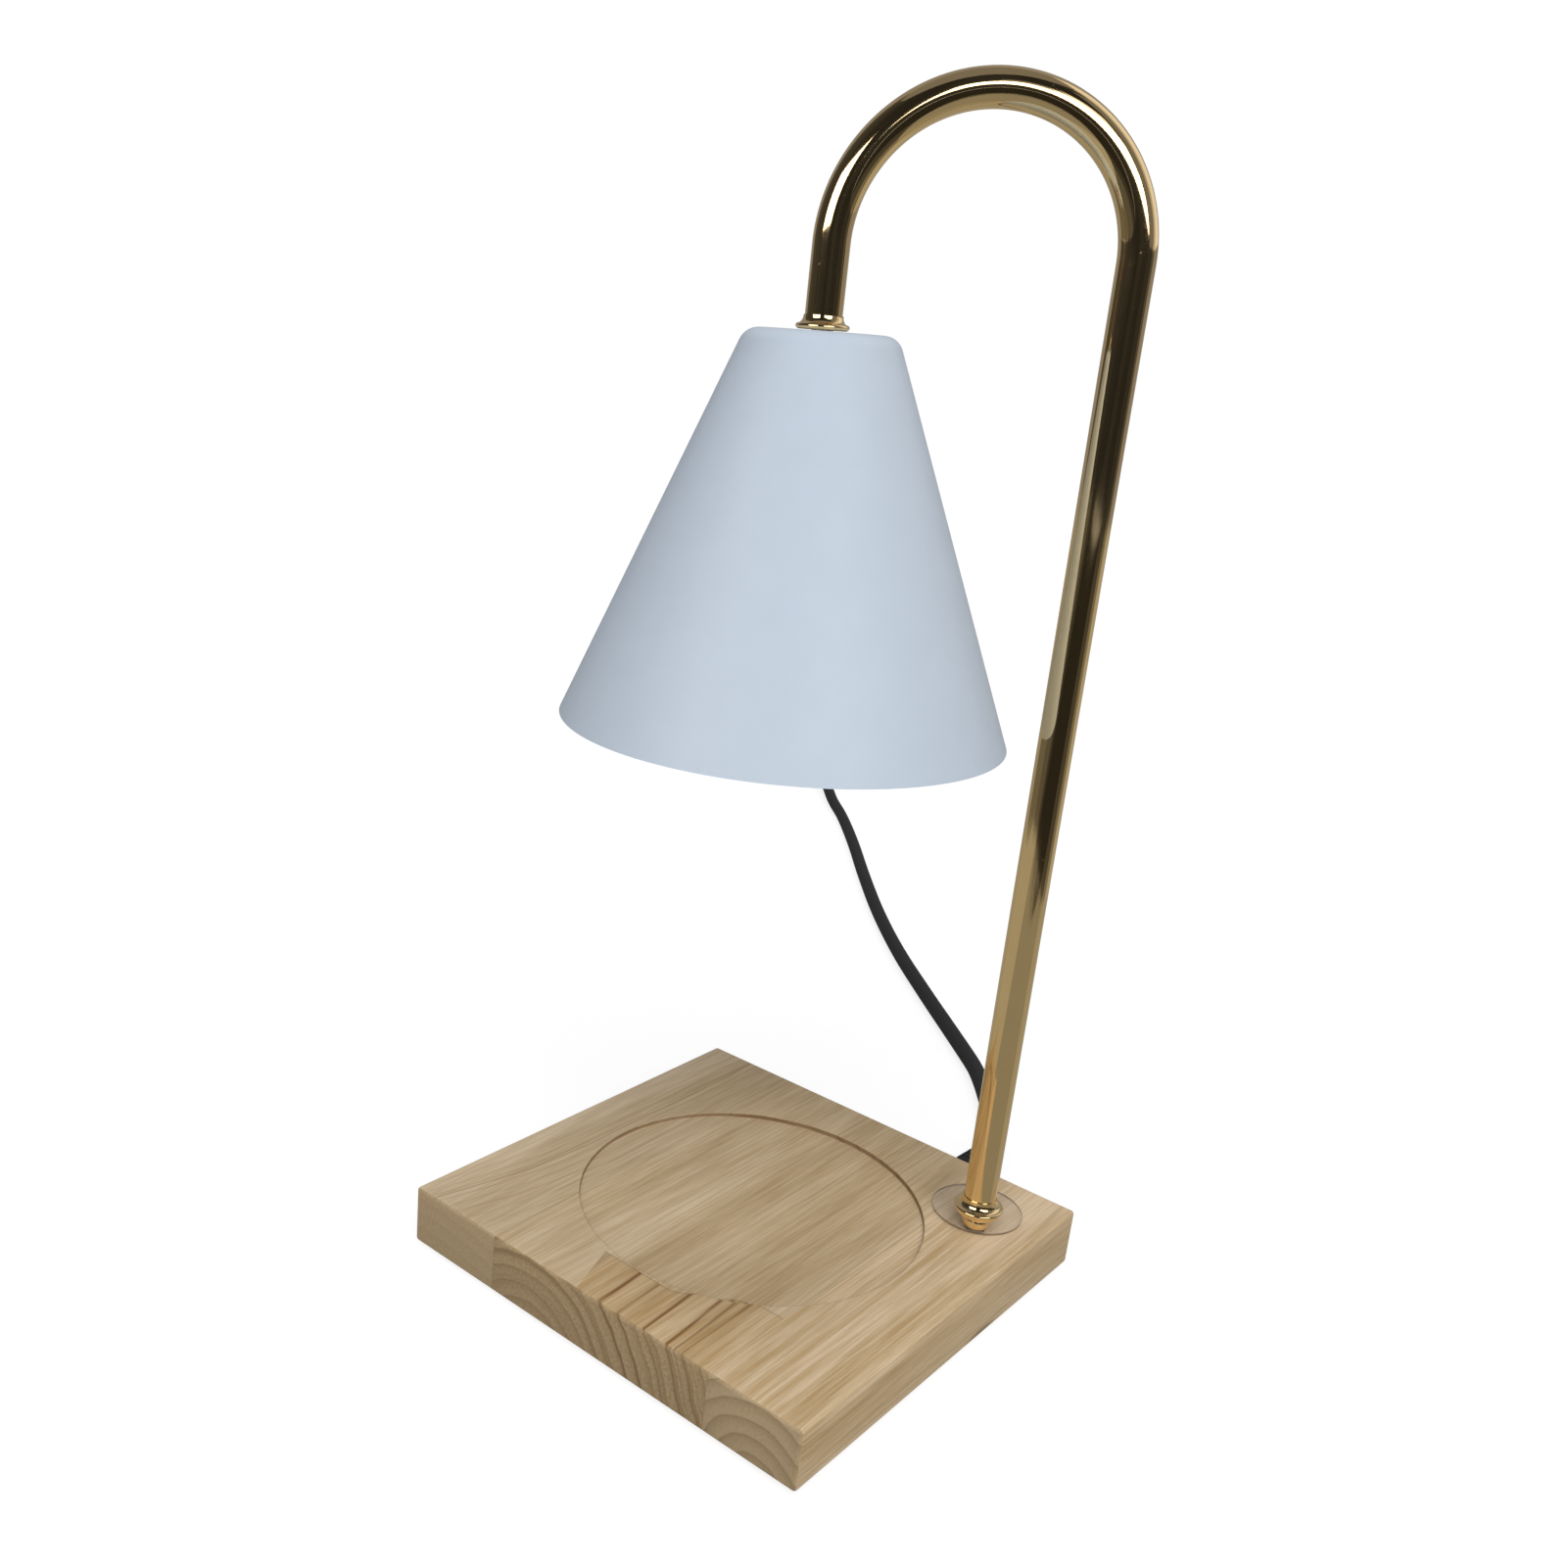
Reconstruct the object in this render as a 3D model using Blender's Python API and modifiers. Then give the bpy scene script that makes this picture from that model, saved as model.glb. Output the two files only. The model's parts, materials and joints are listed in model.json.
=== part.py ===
"""Candle warmer lamp: a wooden base with a round candle seat, a bent gold tube and a cone shade with a
halogen bulb over the seat, and a mains cord with an inline roller dimmer.

Metres, +Z up. The origin is on the table under the middle of the base board, +X runs along the
end-grain front edge and +Y from that edge to the back edge, where the cord leaves.
"""

import math

import bmesh
import bpy
import numpy as np
from mathutils import Matrix, Vector

# Clearances shared by every piece
GAP = 0.0003
OVERRUN = 0.002
WELD_DISTANCE = 0.000001

# Base board and what it stands on
BOARD_SIDE = 0.140
BOARD_THICKNESS = 0.018
BOARD_EASE = 0.0012
SEAT_RADIUS = 0.0511
SEAT_DEPTH = 0.0015
PAD_RADIUS = 0.005
PAD_HEIGHT = 0.0015
PAD_INSET = 0.0075

# Pole tube, its arch and its short arm
POLE_FROM_SIDE = 0.0162
POLE_FROM_BACK = 0.0319
TUBE_RADIUS = 0.0046
TUBE_WALL = 0.0008
ARM_RISE = 0.0200
ARCH_RADIUS = 0.0361
ARCH_STEPS = 24
ARM_HEADING = math.radians(218.2)

# Foot collar and the clear disc under it
DISC_RADIUS = 0.0133
DISC_THICKNESS = 0.0008
DISC_SHIFT_X = -0.0043
DISC_SHIFT_Y = 0.0085
COLLAR_HEIGHT = 0.0096
COLLAR_EDGE = 0.0004
COLLAR_LIP_RADIUS = 0.0071
COLLAR_LIP_HEIGHT = 0.0062
COLLAR_LIP_THICKNESS = 0.0010
COLLAR_WAIST_RADIUS = 0.0037
COLLAR_WAIST_HEIGHT = 0.0032
COLLAR_BEAD_RADIUS = 0.0041
COLLAR_CUP_DEPTH = 0.0044

# Threaded nipples, their bushes, washers and nuts
NIPPLE_RADIUS = 0.0026
NIPPLE_BORE = 0.0019
NIPPLE_REACH = 0.012
BUSH_LENGTH = 0.008
WASHER_RADIUS = 0.0065
WASHER_THICKNESS = 0.001
NUT_RADIUS = 0.0055
NUT_THICKNESS = 0.0032
NIPPLE_STANDOUT = 0.0008

# Pocket under the board and its cover
POCKET_BEFORE_POLE = 0.0155
POCKET_BEHIND_POLE = 0.00255
POCKET_LENGTH = 0.046
POCKET_WIDTH = 0.0225
POCKET_DEPTH = 0.0120
COVER_LENGTH = 0.0595
COVER_WIDTH = 0.0275
COVER_THICKNESS = 0.0015
COVER_SCREW_SPACING = 0.0530
SCREW_RADIUS = 0.0011
SCREW_HEAD_RADIUS = 0.0022
SCREW_HEAD_THICKNESS = 0.0009
COVER_SCREW_LENGTH = 0.007

# Shade
SHADE_TOP_HEIGHT = 0.2648
SHADE_HEIGHT = 0.0987
SHADE_TOP_RADIUS = 0.01865
SHADE_RIM_RADIUS = 0.0587
SHADE_WALL = 0.001
SHADE_SHOULDER = 0.005
SHADE_COLLAR_HEIGHT = 0.0034
SHADE_COLLAR_RADIUS = 0.0066
SHADE_COLLAR_BASE = 0.0012
SHADE_COLLAR_CUP_DEPTH = 0.0022

# Bracket and lampholder
BRACKET_THICKNESS = 0.0012
BRACKET_WIDTH = 0.012
BRACKET_LEG = 0.021
HOLDER_RADIUS = 0.012
HOLDER_HEIGHT = 0.022
HOLDER_DROP = 0.0048
HOLDER_SCREW_DROP = 0.007
HOLDER_SCREW_LENGTH = 0.005

# Bulb with two headed pins that turn in the lampholder
PIN_CIRCLE_RADIUS = 0.005
PIN_RADIUS = 0.0013
PIN_HEAD_RADIUS = 0.0024
PIN_HEAD_THICKNESS = 0.0026
PIN_LIP = 0.0036
PIN_TURN = math.radians(45)
PIN_ROOT = 0.0002
BULB_BASE_RADIUS = 0.0113
BULB_BASE_SHOULDER = 0.0126
BULB_BASE_HEIGHT = 0.018
REFLECTOR_RADIUS = 0.025
REFLECTOR_NECK = 0.0118
REFLECTOR_HEIGHT = 0.0284
REFLECTOR_RIM = 0.003
REFLECTOR_WALL = 0.0012
LENS_THICKNESS = 0.0012
CAPSULE_RADIUS = 0.0052
CAPSULE_LENGTH = 0.017

# Lamp wires
WIRE_RADIUS = 0.0006
WIRE_SPREAD = 0.001

# Cord, its clamp and its strain relief in the back edge
CORD_RADIUS = 0.0031
CORD_LIFT = 0.0001
CORD_STEP_DIAMETERS = 2.0
EXIT_BEFORE_POLE = 0.028
EXIT_HEIGHT = 0.0085
RELIEF_LENGTH = 0.022
RELIEF_ROOT_RADIUS = 0.0046
RELIEF_TIP_RADIUS = 0.0039
RELIEF_FLANGE_RADIUS = 0.0056
RELIEF_FLANGE = 0.0012
RELIEF_NECK_RADIUS = 0.0040
CLAMP_LENGTH = 0.020
CLAMP_WIDTH = 0.006
CLAMP_HEIGHT = 0.0043
CLAMP_FROM_WALL = 0.005
CLAMP_SCREW_SPACING = 0.014
CLAMP_SCREW_LENGTH = 0.007
SHEATH_END_FROM_WALL = 0.0105

# Inline roller dimmer
SWITCH_X = -0.3215
SWITCH_Y = 0.4540
SWITCH_HEADING = math.radians(150)
CASE_LENGTH = 0.062
CASE_WIDTH = 0.026
CASE_HEIGHT = 0.017
CASE_WALL = 0.0018
CASE_CORNER = 0.004
CASE_SPLIT = 0.0072
CASE_SCREW_SPACING = 0.044
CASE_BOSS_RADIUS = 0.0026
CASE_SCREW_LENGTH = 0.009
WHEEL_RADIUS = 0.0078
WHEEL_WIDTH = 0.006
WHEEL_PROUD = 0.0026
WHEEL_RIDGE = 0.0004
WHEEL_RIDGES = 24
AXLE_RADIUS = 0.0012
AXLE_LENGTH = 0.0124
EAR_THICKNESS = 0.002
EAR_LENGTH = 0.005
EAR_RISE = 0.0022
CIRCUIT_LENGTH = 0.0076
CIRCUIT_WIDTH = 0.016
CIRCUIT_THICKNESS = 0.0012
CIRCUIT_RAIL = 0.0012
CIRCUIT_FROM_WHEEL = 0.0035
SLEEVE_LENGTH = 0.020
SLEEVE_ROOT_RADIUS = 0.0042
SLEEVE_TIP_RADIUS = 0.0034
SLEEVE_NECK_RADIUS = 0.0031

# Coil and its tie
COIL_TURNS = 4.5
COIL_OUTER_RADIUS = 0.036
COIL_PITCH = 0.0068
COIL_LAYER_STEP = 0.0068
COIL_POINTS_PER_TURN = 24
COIL_LEAD = 0.026
COIL_CLIMB_TURNS = 0.5
TIE_WIDTH = 0.006
TIE_THICKNESS = 0.0008
TIE_ANGLE = math.radians(-20)

# Plug
TAIL_LENGTH = 0.046
PLUG_LENGTH = 0.027
PLUG_WIDTH = 0.024
PLUG_HEIGHT = 0.0134
PLUG_CORNER = 0.004
PLUG_GRIP_SHARE = 0.72
BLADE_LENGTH = 0.017
BLADE_WIDTH = 0.0063
BLADE_THICKNESS = 0.0015
BLADE_SPACING = 0.0127
BLADE_ROOT = 0.004

# Round shapes
SMALL_SIDES = 16
ROUND_SIDES = 32
WIDE_SIDES = 64

# Places that follow from the sizes above
BOARD_BOTTOM = PAD_HEIGHT
BOARD_TOP = BOARD_BOTTOM + BOARD_THICKNESS
POCKET_CEILING = BOARD_BOTTOM + POCKET_DEPTH
POLE_X = BOARD_SIDE / 2 - POLE_FROM_SIDE
POLE_Y = BOARD_SIDE / 2 - POLE_FROM_BACK
POCKET_X = POLE_X - POCKET_BEFORE_POLE
POCKET_Y = POLE_Y + POCKET_BEHIND_POLE
EXIT_X = POLE_X - EXIT_BEFORE_POLE
POLE_PLACE = Vector((POLE_X, POLE_Y, 0))
ARM_DIRECTION = Vector((math.cos(ARM_HEADING), math.sin(ARM_HEADING), 0))
ARM_SIDE = Vector((-ARM_DIRECTION.y, ARM_DIRECTION.x, 0))
SHADE_PLACE = POLE_PLACE + 2 * ARCH_RADIUS * ARM_DIRECTION
SHADE_RIM_HEIGHT = SHADE_TOP_HEIGHT - SHADE_HEIGHT
ARCH_CENTRE_HEIGHT = SHADE_TOP_HEIGHT + ARM_RISE
SHADE_LEAN = math.atan2(SHADE_RIM_RADIUS - SHADE_TOP_RADIUS, SHADE_HEIGHT)
COLLAR_BASE = BOARD_TOP + DISC_THICKNESS + 2 * GAP
TUBE_FOOT = COLLAR_BASE + COLLAR_HEIGHT - COLLAR_CUP_DEPTH + GAP
SHADE_COLLAR_SEAT = SHADE_TOP_HEIGHT + GAP
ARM_END = SHADE_COLLAR_SEAT + SHADE_COLLAR_HEIGHT - SHADE_COLLAR_CUP_DEPTH + GAP
BRACKET_TOP = SHADE_TOP_HEIGHT - SHADE_WALL - GAP
SHADE_WASHER_TOP = BRACKET_TOP - BRACKET_THICKNESS - GAP
SHADE_NUT_TOP = SHADE_WASHER_TOP - WASHER_THICKNESS - GAP
SHADE_NIPPLE_END = SHADE_NUT_TOP - NUT_THICKNESS - NIPPLE_STANDOUT
HOLDER_TOP = SHADE_NIPPLE_END - HOLDER_DROP
HOLDER_BOTTOM = HOLDER_TOP - HOLDER_HEIGHT
BULB_TOP = HOLDER_BOTTOM - GAP
REFLECTOR_TOP = BULB_TOP - BULB_BASE_HEIGHT - GAP
BRACKET_REACH = HOLDER_RADIUS + GAP + BRACKET_THICKNESS
POLE_WASHER_TOP = POCKET_CEILING - GAP
POLE_NUT_TOP = POLE_WASHER_TOP - WASHER_THICKNESS - GAP
POLE_NIPPLE_END = POLE_NUT_TOP - NUT_THICKNESS - NIPPLE_STANDOUT
POCKET_BACK = POCKET_Y + POCKET_WIDTH / 2
BOARD_BACK = BOARD_SIDE / 2
CORD_FLOOR = CORD_RADIUS + CORD_LIFT
CORD_BORE = CORD_RADIUS + GAP
RELIEF_TIP = BOARD_BACK + GAP + RELIEF_LENGTH
CORD_START = RELIEF_TIP + GAP
CASE_BOTTOM = CORD_LIFT
CASE_TOP = CASE_BOTTOM + CASE_HEIGHT
CASE_AXIS_HEIGHT = CASE_BOTTOM + CASE_SPLIT
WHEEL_HEIGHT = CASE_TOP + WHEEL_PROUD - WHEEL_RADIUS
SLEEVE_REACH = CASE_LENGTH / 2 + GAP + SLEEVE_LENGTH
SWITCH_PLACE = Vector((SWITCH_X, SWITCH_Y, 0))
SWITCH_DIRECTION = Vector((math.cos(SWITCH_HEADING), math.sin(SWITCH_HEADING), 0))
COIL_RIGHT = Vector((SWITCH_DIRECTION.y, -SWITCH_DIRECTION.x, 0))
COIL_ENTRY = SWITCH_PLACE + (SLEEVE_REACH + COIL_LEAD) * SWITCH_DIRECTION
COIL_CENTRE = COIL_ENTRY + COIL_OUTER_RADIUS * COIL_RIGHT
COIL_START_ANGLE = math.atan2(-COIL_RIGHT.y, -COIL_RIGHT.x)
COIL_LOW_HEIGHT = CORD_FLOOR + TIE_THICKNESS + GAP
COIL_HIGH_HEIGHT = COIL_LOW_HEIGHT + COIL_LAYER_STEP
COIL_SPAN = COIL_PITCH * COIL_TURNS / 2
PLUG_AXIS_HEIGHT = CORD_LIFT + PLUG_HEIGHT / 2

# Points of the cord on the table, chosen by hand, from the strain relief to the dimmer
LEAD_ROUTE = [
    (0.0247, 0.1055, 0.0066),
    (0.0209, 0.1140, 0.0044),
    (0.0152, 0.1232, CORD_FLOOR),
    (0.0088, 0.1323, CORD_FLOOR),
    (0.0020, 0.1414, CORD_FLOOR),
    (-0.0052, 0.1506, CORD_FLOOR),
    (-0.0123, 0.1588, CORD_FLOOR),
    (-0.0198, 0.1659, CORD_FLOOR),
    (-0.0399, 0.1839, CORD_FLOOR),
    (-0.0622, 0.2038, CORD_FLOOR),
    (-0.0960, 0.2350, CORD_FLOOR),
    (-0.1300, 0.2700, CORD_FLOOR),
    (-0.1640, 0.3085, CORD_FLOOR),
    (-0.1980, 0.3485, CORD_FLOOR),
    (-0.2290, 0.3830, CORD_FLOOR),
    (-0.2500, 0.4030, 0.0042),
]


def clear_scene() -> None:
    for obj in list(bpy.data.objects):
        bpy.data.objects.remove(obj, do_unlink=True)


def new_collection(name):
    collection = bpy.data.collections.new(name)
    bpy.context.scene.collection.children.link(collection)
    return collection


clear_scene()
PARTS = new_collection("candle_warmer_lamp")
CUTTERS = new_collection("cutters")


# Materials

def material(name, colour, roughness, metallic=0.0, alpha=1.0):
    made = bpy.data.materials.new(name)
    made.use_nodes = True
    shader = made.node_tree.nodes["Principled BSDF"]
    shader.inputs["Base Color"].default_value = (*colour, 1.0)
    shader.inputs["Roughness"].default_value = roughness
    shader.inputs["Metallic"].default_value = metallic
    shader.inputs["Alpha"].default_value = alpha
    return made


WOOD = ("wood", (0.55, 0.40, 0.25), 0.6)
GOLD = ("gold", (0.83, 0.58, 0.25), 0.18, 1.0)
STEEL = ("zinc_steel", (0.60, 0.60, 0.61), 0.35, 1.0)
WHITE_COAT = ("white_coat", (0.60, 0.68, 0.76), 0.55)
CERAMIC = ("ceramic", (0.82, 0.80, 0.74), 0.45)
GLASS = ("glass", (0.92, 0.94, 0.95), 0.05, 0.0, 0.35)
REFLECTOR = ("reflector_glass", (0.80, 0.80, 0.82), 0.12, 0.9)
CLEAR = ("clear_plastic", (0.86, 0.86, 0.82), 0.15, 0.0, 0.4)
BLACK_RUBBER = ("black_rubber", (0.02, 0.02, 0.022), 0.6)
BLACK_PLASTIC = ("black_plastic", (0.03, 0.03, 0.032), 0.4)
BOARD_GREEN = ("circuit_green", (0.05, 0.20, 0.09), 0.5)
BRASS = ("brass", (0.75, 0.60, 0.30), 0.3, 1.0)
WIRE_BROWN = ("brown_insulation", (0.20, 0.09, 0.04), 0.5)
WIRE_BLUE = ("blue_insulation", (0.06, 0.15, 0.45), 0.5)


# Tools that make solids

def part(obj, finish, parent=None):
    """Gives an object its own material and puts it among the lamp's parts."""
    name, *values = finish
    obj.data.materials.append(material(f"{obj.name}_{name}", *values))
    if obj.name not in PARTS.objects:
        PARTS.objects.link(obj)
    obj.parent = parent
    return obj


def cutter(obj, parent=None):
    """Puts a helper among the cutters, out of the render."""
    CUTTERS.objects.link(obj)
    obj.hide_render = True
    obj.display_type = "WIRE"
    obj.parent = parent
    return obj


def place_for(name, at, heading=0.0):
    empty = bpy.data.objects.new(name, None)
    PARTS.objects.link(empty)
    empty.location = at
    empty.rotation_euler = (0, 0, heading)
    return empty


def mesh_object(name, bm):
    mesh = bpy.data.meshes.new(name)
    bm.to_mesh(mesh)
    bm.free()
    return bpy.data.objects.new(name, mesh)


def cylinder(name, radius, low, high, at=(0, 0), axis="Z", sides=SMALL_SIDES, tip_radius=None):
    """A cylinder or cone from low to high along axis; at gives its two other coordinates."""
    bm = bmesh.new()
    top = radius if tip_radius is None else tip_radius
    bmesh.ops.create_cone(
        bm, cap_ends=True, segments=sides, radius1=radius, radius2=top, depth=high - low
    )
    turn = {
        "Z": Matrix.Identity(3),
        "Y": Matrix.Rotation(math.radians(-90), 3, "X"),
        "X": Matrix.Rotation(math.radians(90), 3, "Y"),
    }[axis]
    middle = (low + high) / 2
    place = {
        "Z": (at[0], at[1], middle),
        "Y": (at[0], middle, at[1]),
        "X": (middle, at[0], at[1]),
    }[axis]
    bmesh.ops.rotate(bm, verts=bm.verts, matrix=turn)
    bmesh.ops.translate(bm, verts=bm.verts, vec=place)
    return mesh_object(name, bm)


def box(name, low, high):
    """A box between two corners."""
    bm = bmesh.new()
    bmesh.ops.create_cube(bm, size=1)
    size = [b - a for a, b in zip(low, high)]
    bmesh.ops.scale(bm, verts=bm.verts, vec=size)
    bmesh.ops.translate(bm, verts=bm.verts, vec=[(a + b) / 2 for a, b in zip(low, high)])
    return mesh_object(name, bm)


def round_edges(obj, width, segments=2):
    bevel = obj.modifiers.new("rounded", "BEVEL")
    bevel.width = width
    bevel.segments = segments
    bevel.limit_method = "ANGLE"
    return obj


def turned(name, profile, closed, at=(0, 0), sides=ROUND_SIDES):
    """A turned piece. The profile's (radius, height) points run down its outer side."""
    bm = bmesh.new()
    points = [bm.verts.new((radius, 0, height)) for radius, height in profile]
    pairs = list(zip(points, points[1:]))
    if closed:
        pairs.append((points[-1], points[0]))
    for pair in pairs:
        bm.edges.new(pair)
    obj = mesh_object(name, bm)
    obj.location = (at[0], at[1], 0)
    screw = obj.modifiers.new("turned", "SCREW")
    screw.axis = "Z"
    screw.angle = math.tau
    screw.steps = sides
    screw.render_steps = sides
    screw.use_merge_vertices = True
    screw.merge_threshold = WELD_DISTANCE
    screw.use_smooth_shade = True
    return obj


def ring_profile(outer, inner, low, high):
    return [(inner, high), (outer, high), (outer, low), (inner, low)]


def boolean(obj, other, operation="DIFFERENCE"):
    step = obj.modifiers.new(other.name, "BOOLEAN")
    step.operation = operation
    step.solver = "EXACT"
    step.object = other
    return obj


def as_mesh(obj):
    """Replaces a curve object by its evaluated mesh with welded caps."""
    bpy.context.scene.collection.objects.link(obj)
    bpy.context.view_layer.update()
    evaluated = obj.evaluated_get(bpy.context.evaluated_depsgraph_get())
    mesh = bpy.data.meshes.new_from_object(evaluated)
    name = obj.name
    bm = bmesh.new()
    bm.from_mesh(mesh)
    bmesh.ops.remove_doubles(bm, verts=bm.verts, dist=WELD_DISTANCE)
    bmesh.ops.recalc_face_normals(bm, faces=bm.faces)
    bm.to_mesh(mesh)
    bm.free()
    place = obj.matrix_world.copy()
    bpy.data.objects.remove(obj, do_unlink=True)
    made = bpy.data.objects.new(name, mesh)
    made.matrix_world = place
    return made


def tube(name, points, radius, resolution=2, closed=False):
    """A round bar along the points, as a curve with a bevel and filled caps."""
    curve = bpy.data.curves.new(name, "CURVE")
    curve.dimensions = "3D"
    curve.bevel_depth = radius
    curve.bevel_resolution = resolution
    curve.use_fill_caps = True
    spline = curve.splines.new("POLY")
    spline.points.add(len(points) - 1)
    for target, point in zip(spline.points, points):
        target.co = (*point, 1)
    spline.use_cyclic_u = closed
    return bpy.data.objects.new(name, curve)


def flat_outline(name, outlines, half_thickness):
    """A flat plate from closed outlines, in the XY plane, its thickness both ways along Z."""
    curve = bpy.data.curves.new(name, "CURVE")
    curve.dimensions = "2D"
    curve.fill_mode = "BOTH"
    curve.extrude = half_thickness
    for outline in outlines:
        spline = curve.splines.new("POLY")
        spline.points.add(len(outline) - 1)
        for target, (x, y) in zip(spline.points, outline):
            target.co = (x, y, 0, 1)
        spline.use_cyclic_u = True
    return bpy.data.objects.new(name, curve)


def smooth_route(route, step, before=None, after=None):
    """Points a step apart on one smooth curve through the route's points."""
    route = np.array([tuple(point) for point in route], float)
    first = 2 * route[0] - route[1] if before is None else np.array(before)
    last = 2 * route[-1] - route[-2] if after is None else np.array(after)
    padded = np.vstack([first, route, last])
    fine = []
    shares = np.linspace(0, 1, SMALL_SIDES, endpoint=False)[:, None]
    for a, b, c, d in zip(padded, padded[1:], padded[2:], padded[3:]):
        slope_b = (c - a) / 2
        slope_c = (d - b) / 2
        fine.append(
            (2 * shares**3 - 3 * shares**2 + 1) * b
            + (shares**3 - 2 * shares**2 + shares) * slope_b
            + (-2 * shares**3 + 3 * shares**2) * c
            + (shares**3 - shares**2) * slope_c
        )
    fine = np.vstack([*fine, route[-1:]])
    along = np.concatenate([[0], np.cumsum(np.linalg.norm(np.diff(fine, axis=0), axis=1))])
    count = max(2, round(along[-1] / step))
    wanted = np.linspace(0, along[-1], count + 1)
    return [Vector(np.array([np.interp(s, along, axis) for axis in fine.T])) for s in wanted]


def free_cord(start, start_way, between, end, end_way, step):
    """A cord's points from start to end, straight for one diameter at each end."""
    diameter = 2 * CORD_RADIUS
    route = [start + diameter * start_way, *map(Vector, between), end - diameter * end_way]
    return [start, *smooth_route(route, step, start, end), end]


def hex_nut(name, low, high, at, bore):
    nut = cylinder(name, NUT_RADIUS, low, high, at=at, sides=6)
    hole = cutter(cylinder(f"{name}_bore", bore, low - OVERRUN, high + OVERRUN, at=at))
    return boolean(nut, hole)


def washer(name, low, high, at, bore):
    return turned(name, ring_profile(WASHER_RADIUS, bore, low, high), True, at=at, sides=24)


def screw(name, head, tip, at, axis="Z"):
    """A pan screw whose head's outer face is at head and whose point is at tip."""
    forward = 1 if tip > head else -1
    neck = head + forward * SCREW_HEAD_THICKNESS
    low, high = sorted((head, neck))
    top = cylinder(f"{name}_shank", SCREW_RADIUS, *sorted((low + SCREW_HEAD_THICKNESS / 2, tip)),
                   at=at, axis=axis, sides=10)
    cap = cylinder(name, SCREW_HEAD_RADIUS, low, high, at=at, axis=axis, sides=SMALL_SIDES)
    return boolean(cap, cutter(top), "UNION")


# Base board, pads, cover and what the pocket holds

def build_board():
    half = BOARD_SIDE / 2
    board = box("base_board", (-half, -half, BOARD_BOTTOM), (half, half, BOARD_TOP))
    round_edges(board, BOARD_EASE)
    seat = cylinder("candle_seat", SEAT_RADIUS, BOARD_TOP - SEAT_DEPTH, BOARD_TOP + OVERRUN, sides=96)
    boolean(board, cutter(seat))
    pole_hole = cylinder("pole_hole", NIPPLE_RADIUS + GAP, BOARD_BOTTOM, BOARD_TOP + OVERRUN,
                         at=(POLE_X, POLE_Y))
    boolean(board, cutter(pole_hole))
    pocket = box(
        "pocket",
        (POCKET_X - POCKET_LENGTH / 2, POCKET_Y - POCKET_WIDTH / 2, BOARD_BOTTOM - OVERRUN),
        (POCKET_X + POCKET_LENGTH / 2, POCKET_BACK, POCKET_CEILING),
    )
    boolean(board, cutter(pocket))
    rebate = box(
        "cover_rebate",
        (POCKET_X - COVER_LENGTH / 2 - GAP, POCKET_Y - COVER_WIDTH / 2 - GAP, BOARD_BOTTOM - OVERRUN),
        (POCKET_X + COVER_LENGTH / 2 + GAP, POCKET_Y + COVER_WIDTH / 2 + GAP,
         BOARD_BOTTOM + COVER_THICKNESS + GAP),
    )
    boolean(board, cutter(rebate))
    exit_hole = cylinder("cord_hole", RELIEF_NECK_RADIUS + GAP, POCKET_BACK - OVERRUN,
                         BOARD_BACK + OVERRUN, at=(EXIT_X, EXIT_HEIGHT), axis="Y", sides=24)
    boolean(board, cutter(exit_hole))
    part(board, WOOD)
    for index, (side_x, side_y) in enumerate(((-1, -1), (1, -1), (1, 1), (-1, 1)), 1):
        place = (side_x * (half - PAD_INSET), side_y * (half - PAD_INSET))
        pad = cylinder(f"foot_pad_{index}", PAD_RADIUS, 0, PAD_HEIGHT - GAP, at=place, sides=24)
        part(pad, BLACK_RUBBER)
    build_cover(board)
    build_cord_entry(board)


def build_cover(board):
    low = BOARD_BOTTOM
    high = BOARD_BOTTOM + COVER_THICKNESS
    cover = box(
        "pocket_cover",
        (POCKET_X - COVER_LENGTH / 2, POCKET_Y - COVER_WIDTH / 2, low),
        (POCKET_X + COVER_LENGTH / 2, POCKET_Y + COVER_WIDTH / 2, high),
    )
    for index, side in enumerate((-1, 1), 1):
        place = (POCKET_X + side * COVER_SCREW_SPACING / 2, POCKET_Y)
        head = low - SCREW_HEAD_THICKNESS - GAP
        tip = head + COVER_SCREW_LENGTH
        hole = cutter(cylinder(f"cover_hole_{index}", SCREW_RADIUS + GAP, low - OVERRUN, tip + GAP,
                               at=place, sides=12))
        boolean(cover, hole)
        boolean(board, hole)
        part(screw(f"cover_screw_{index}", head, tip, place), STEEL)
    part(cover, BLACK_PLASTIC)


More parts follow.
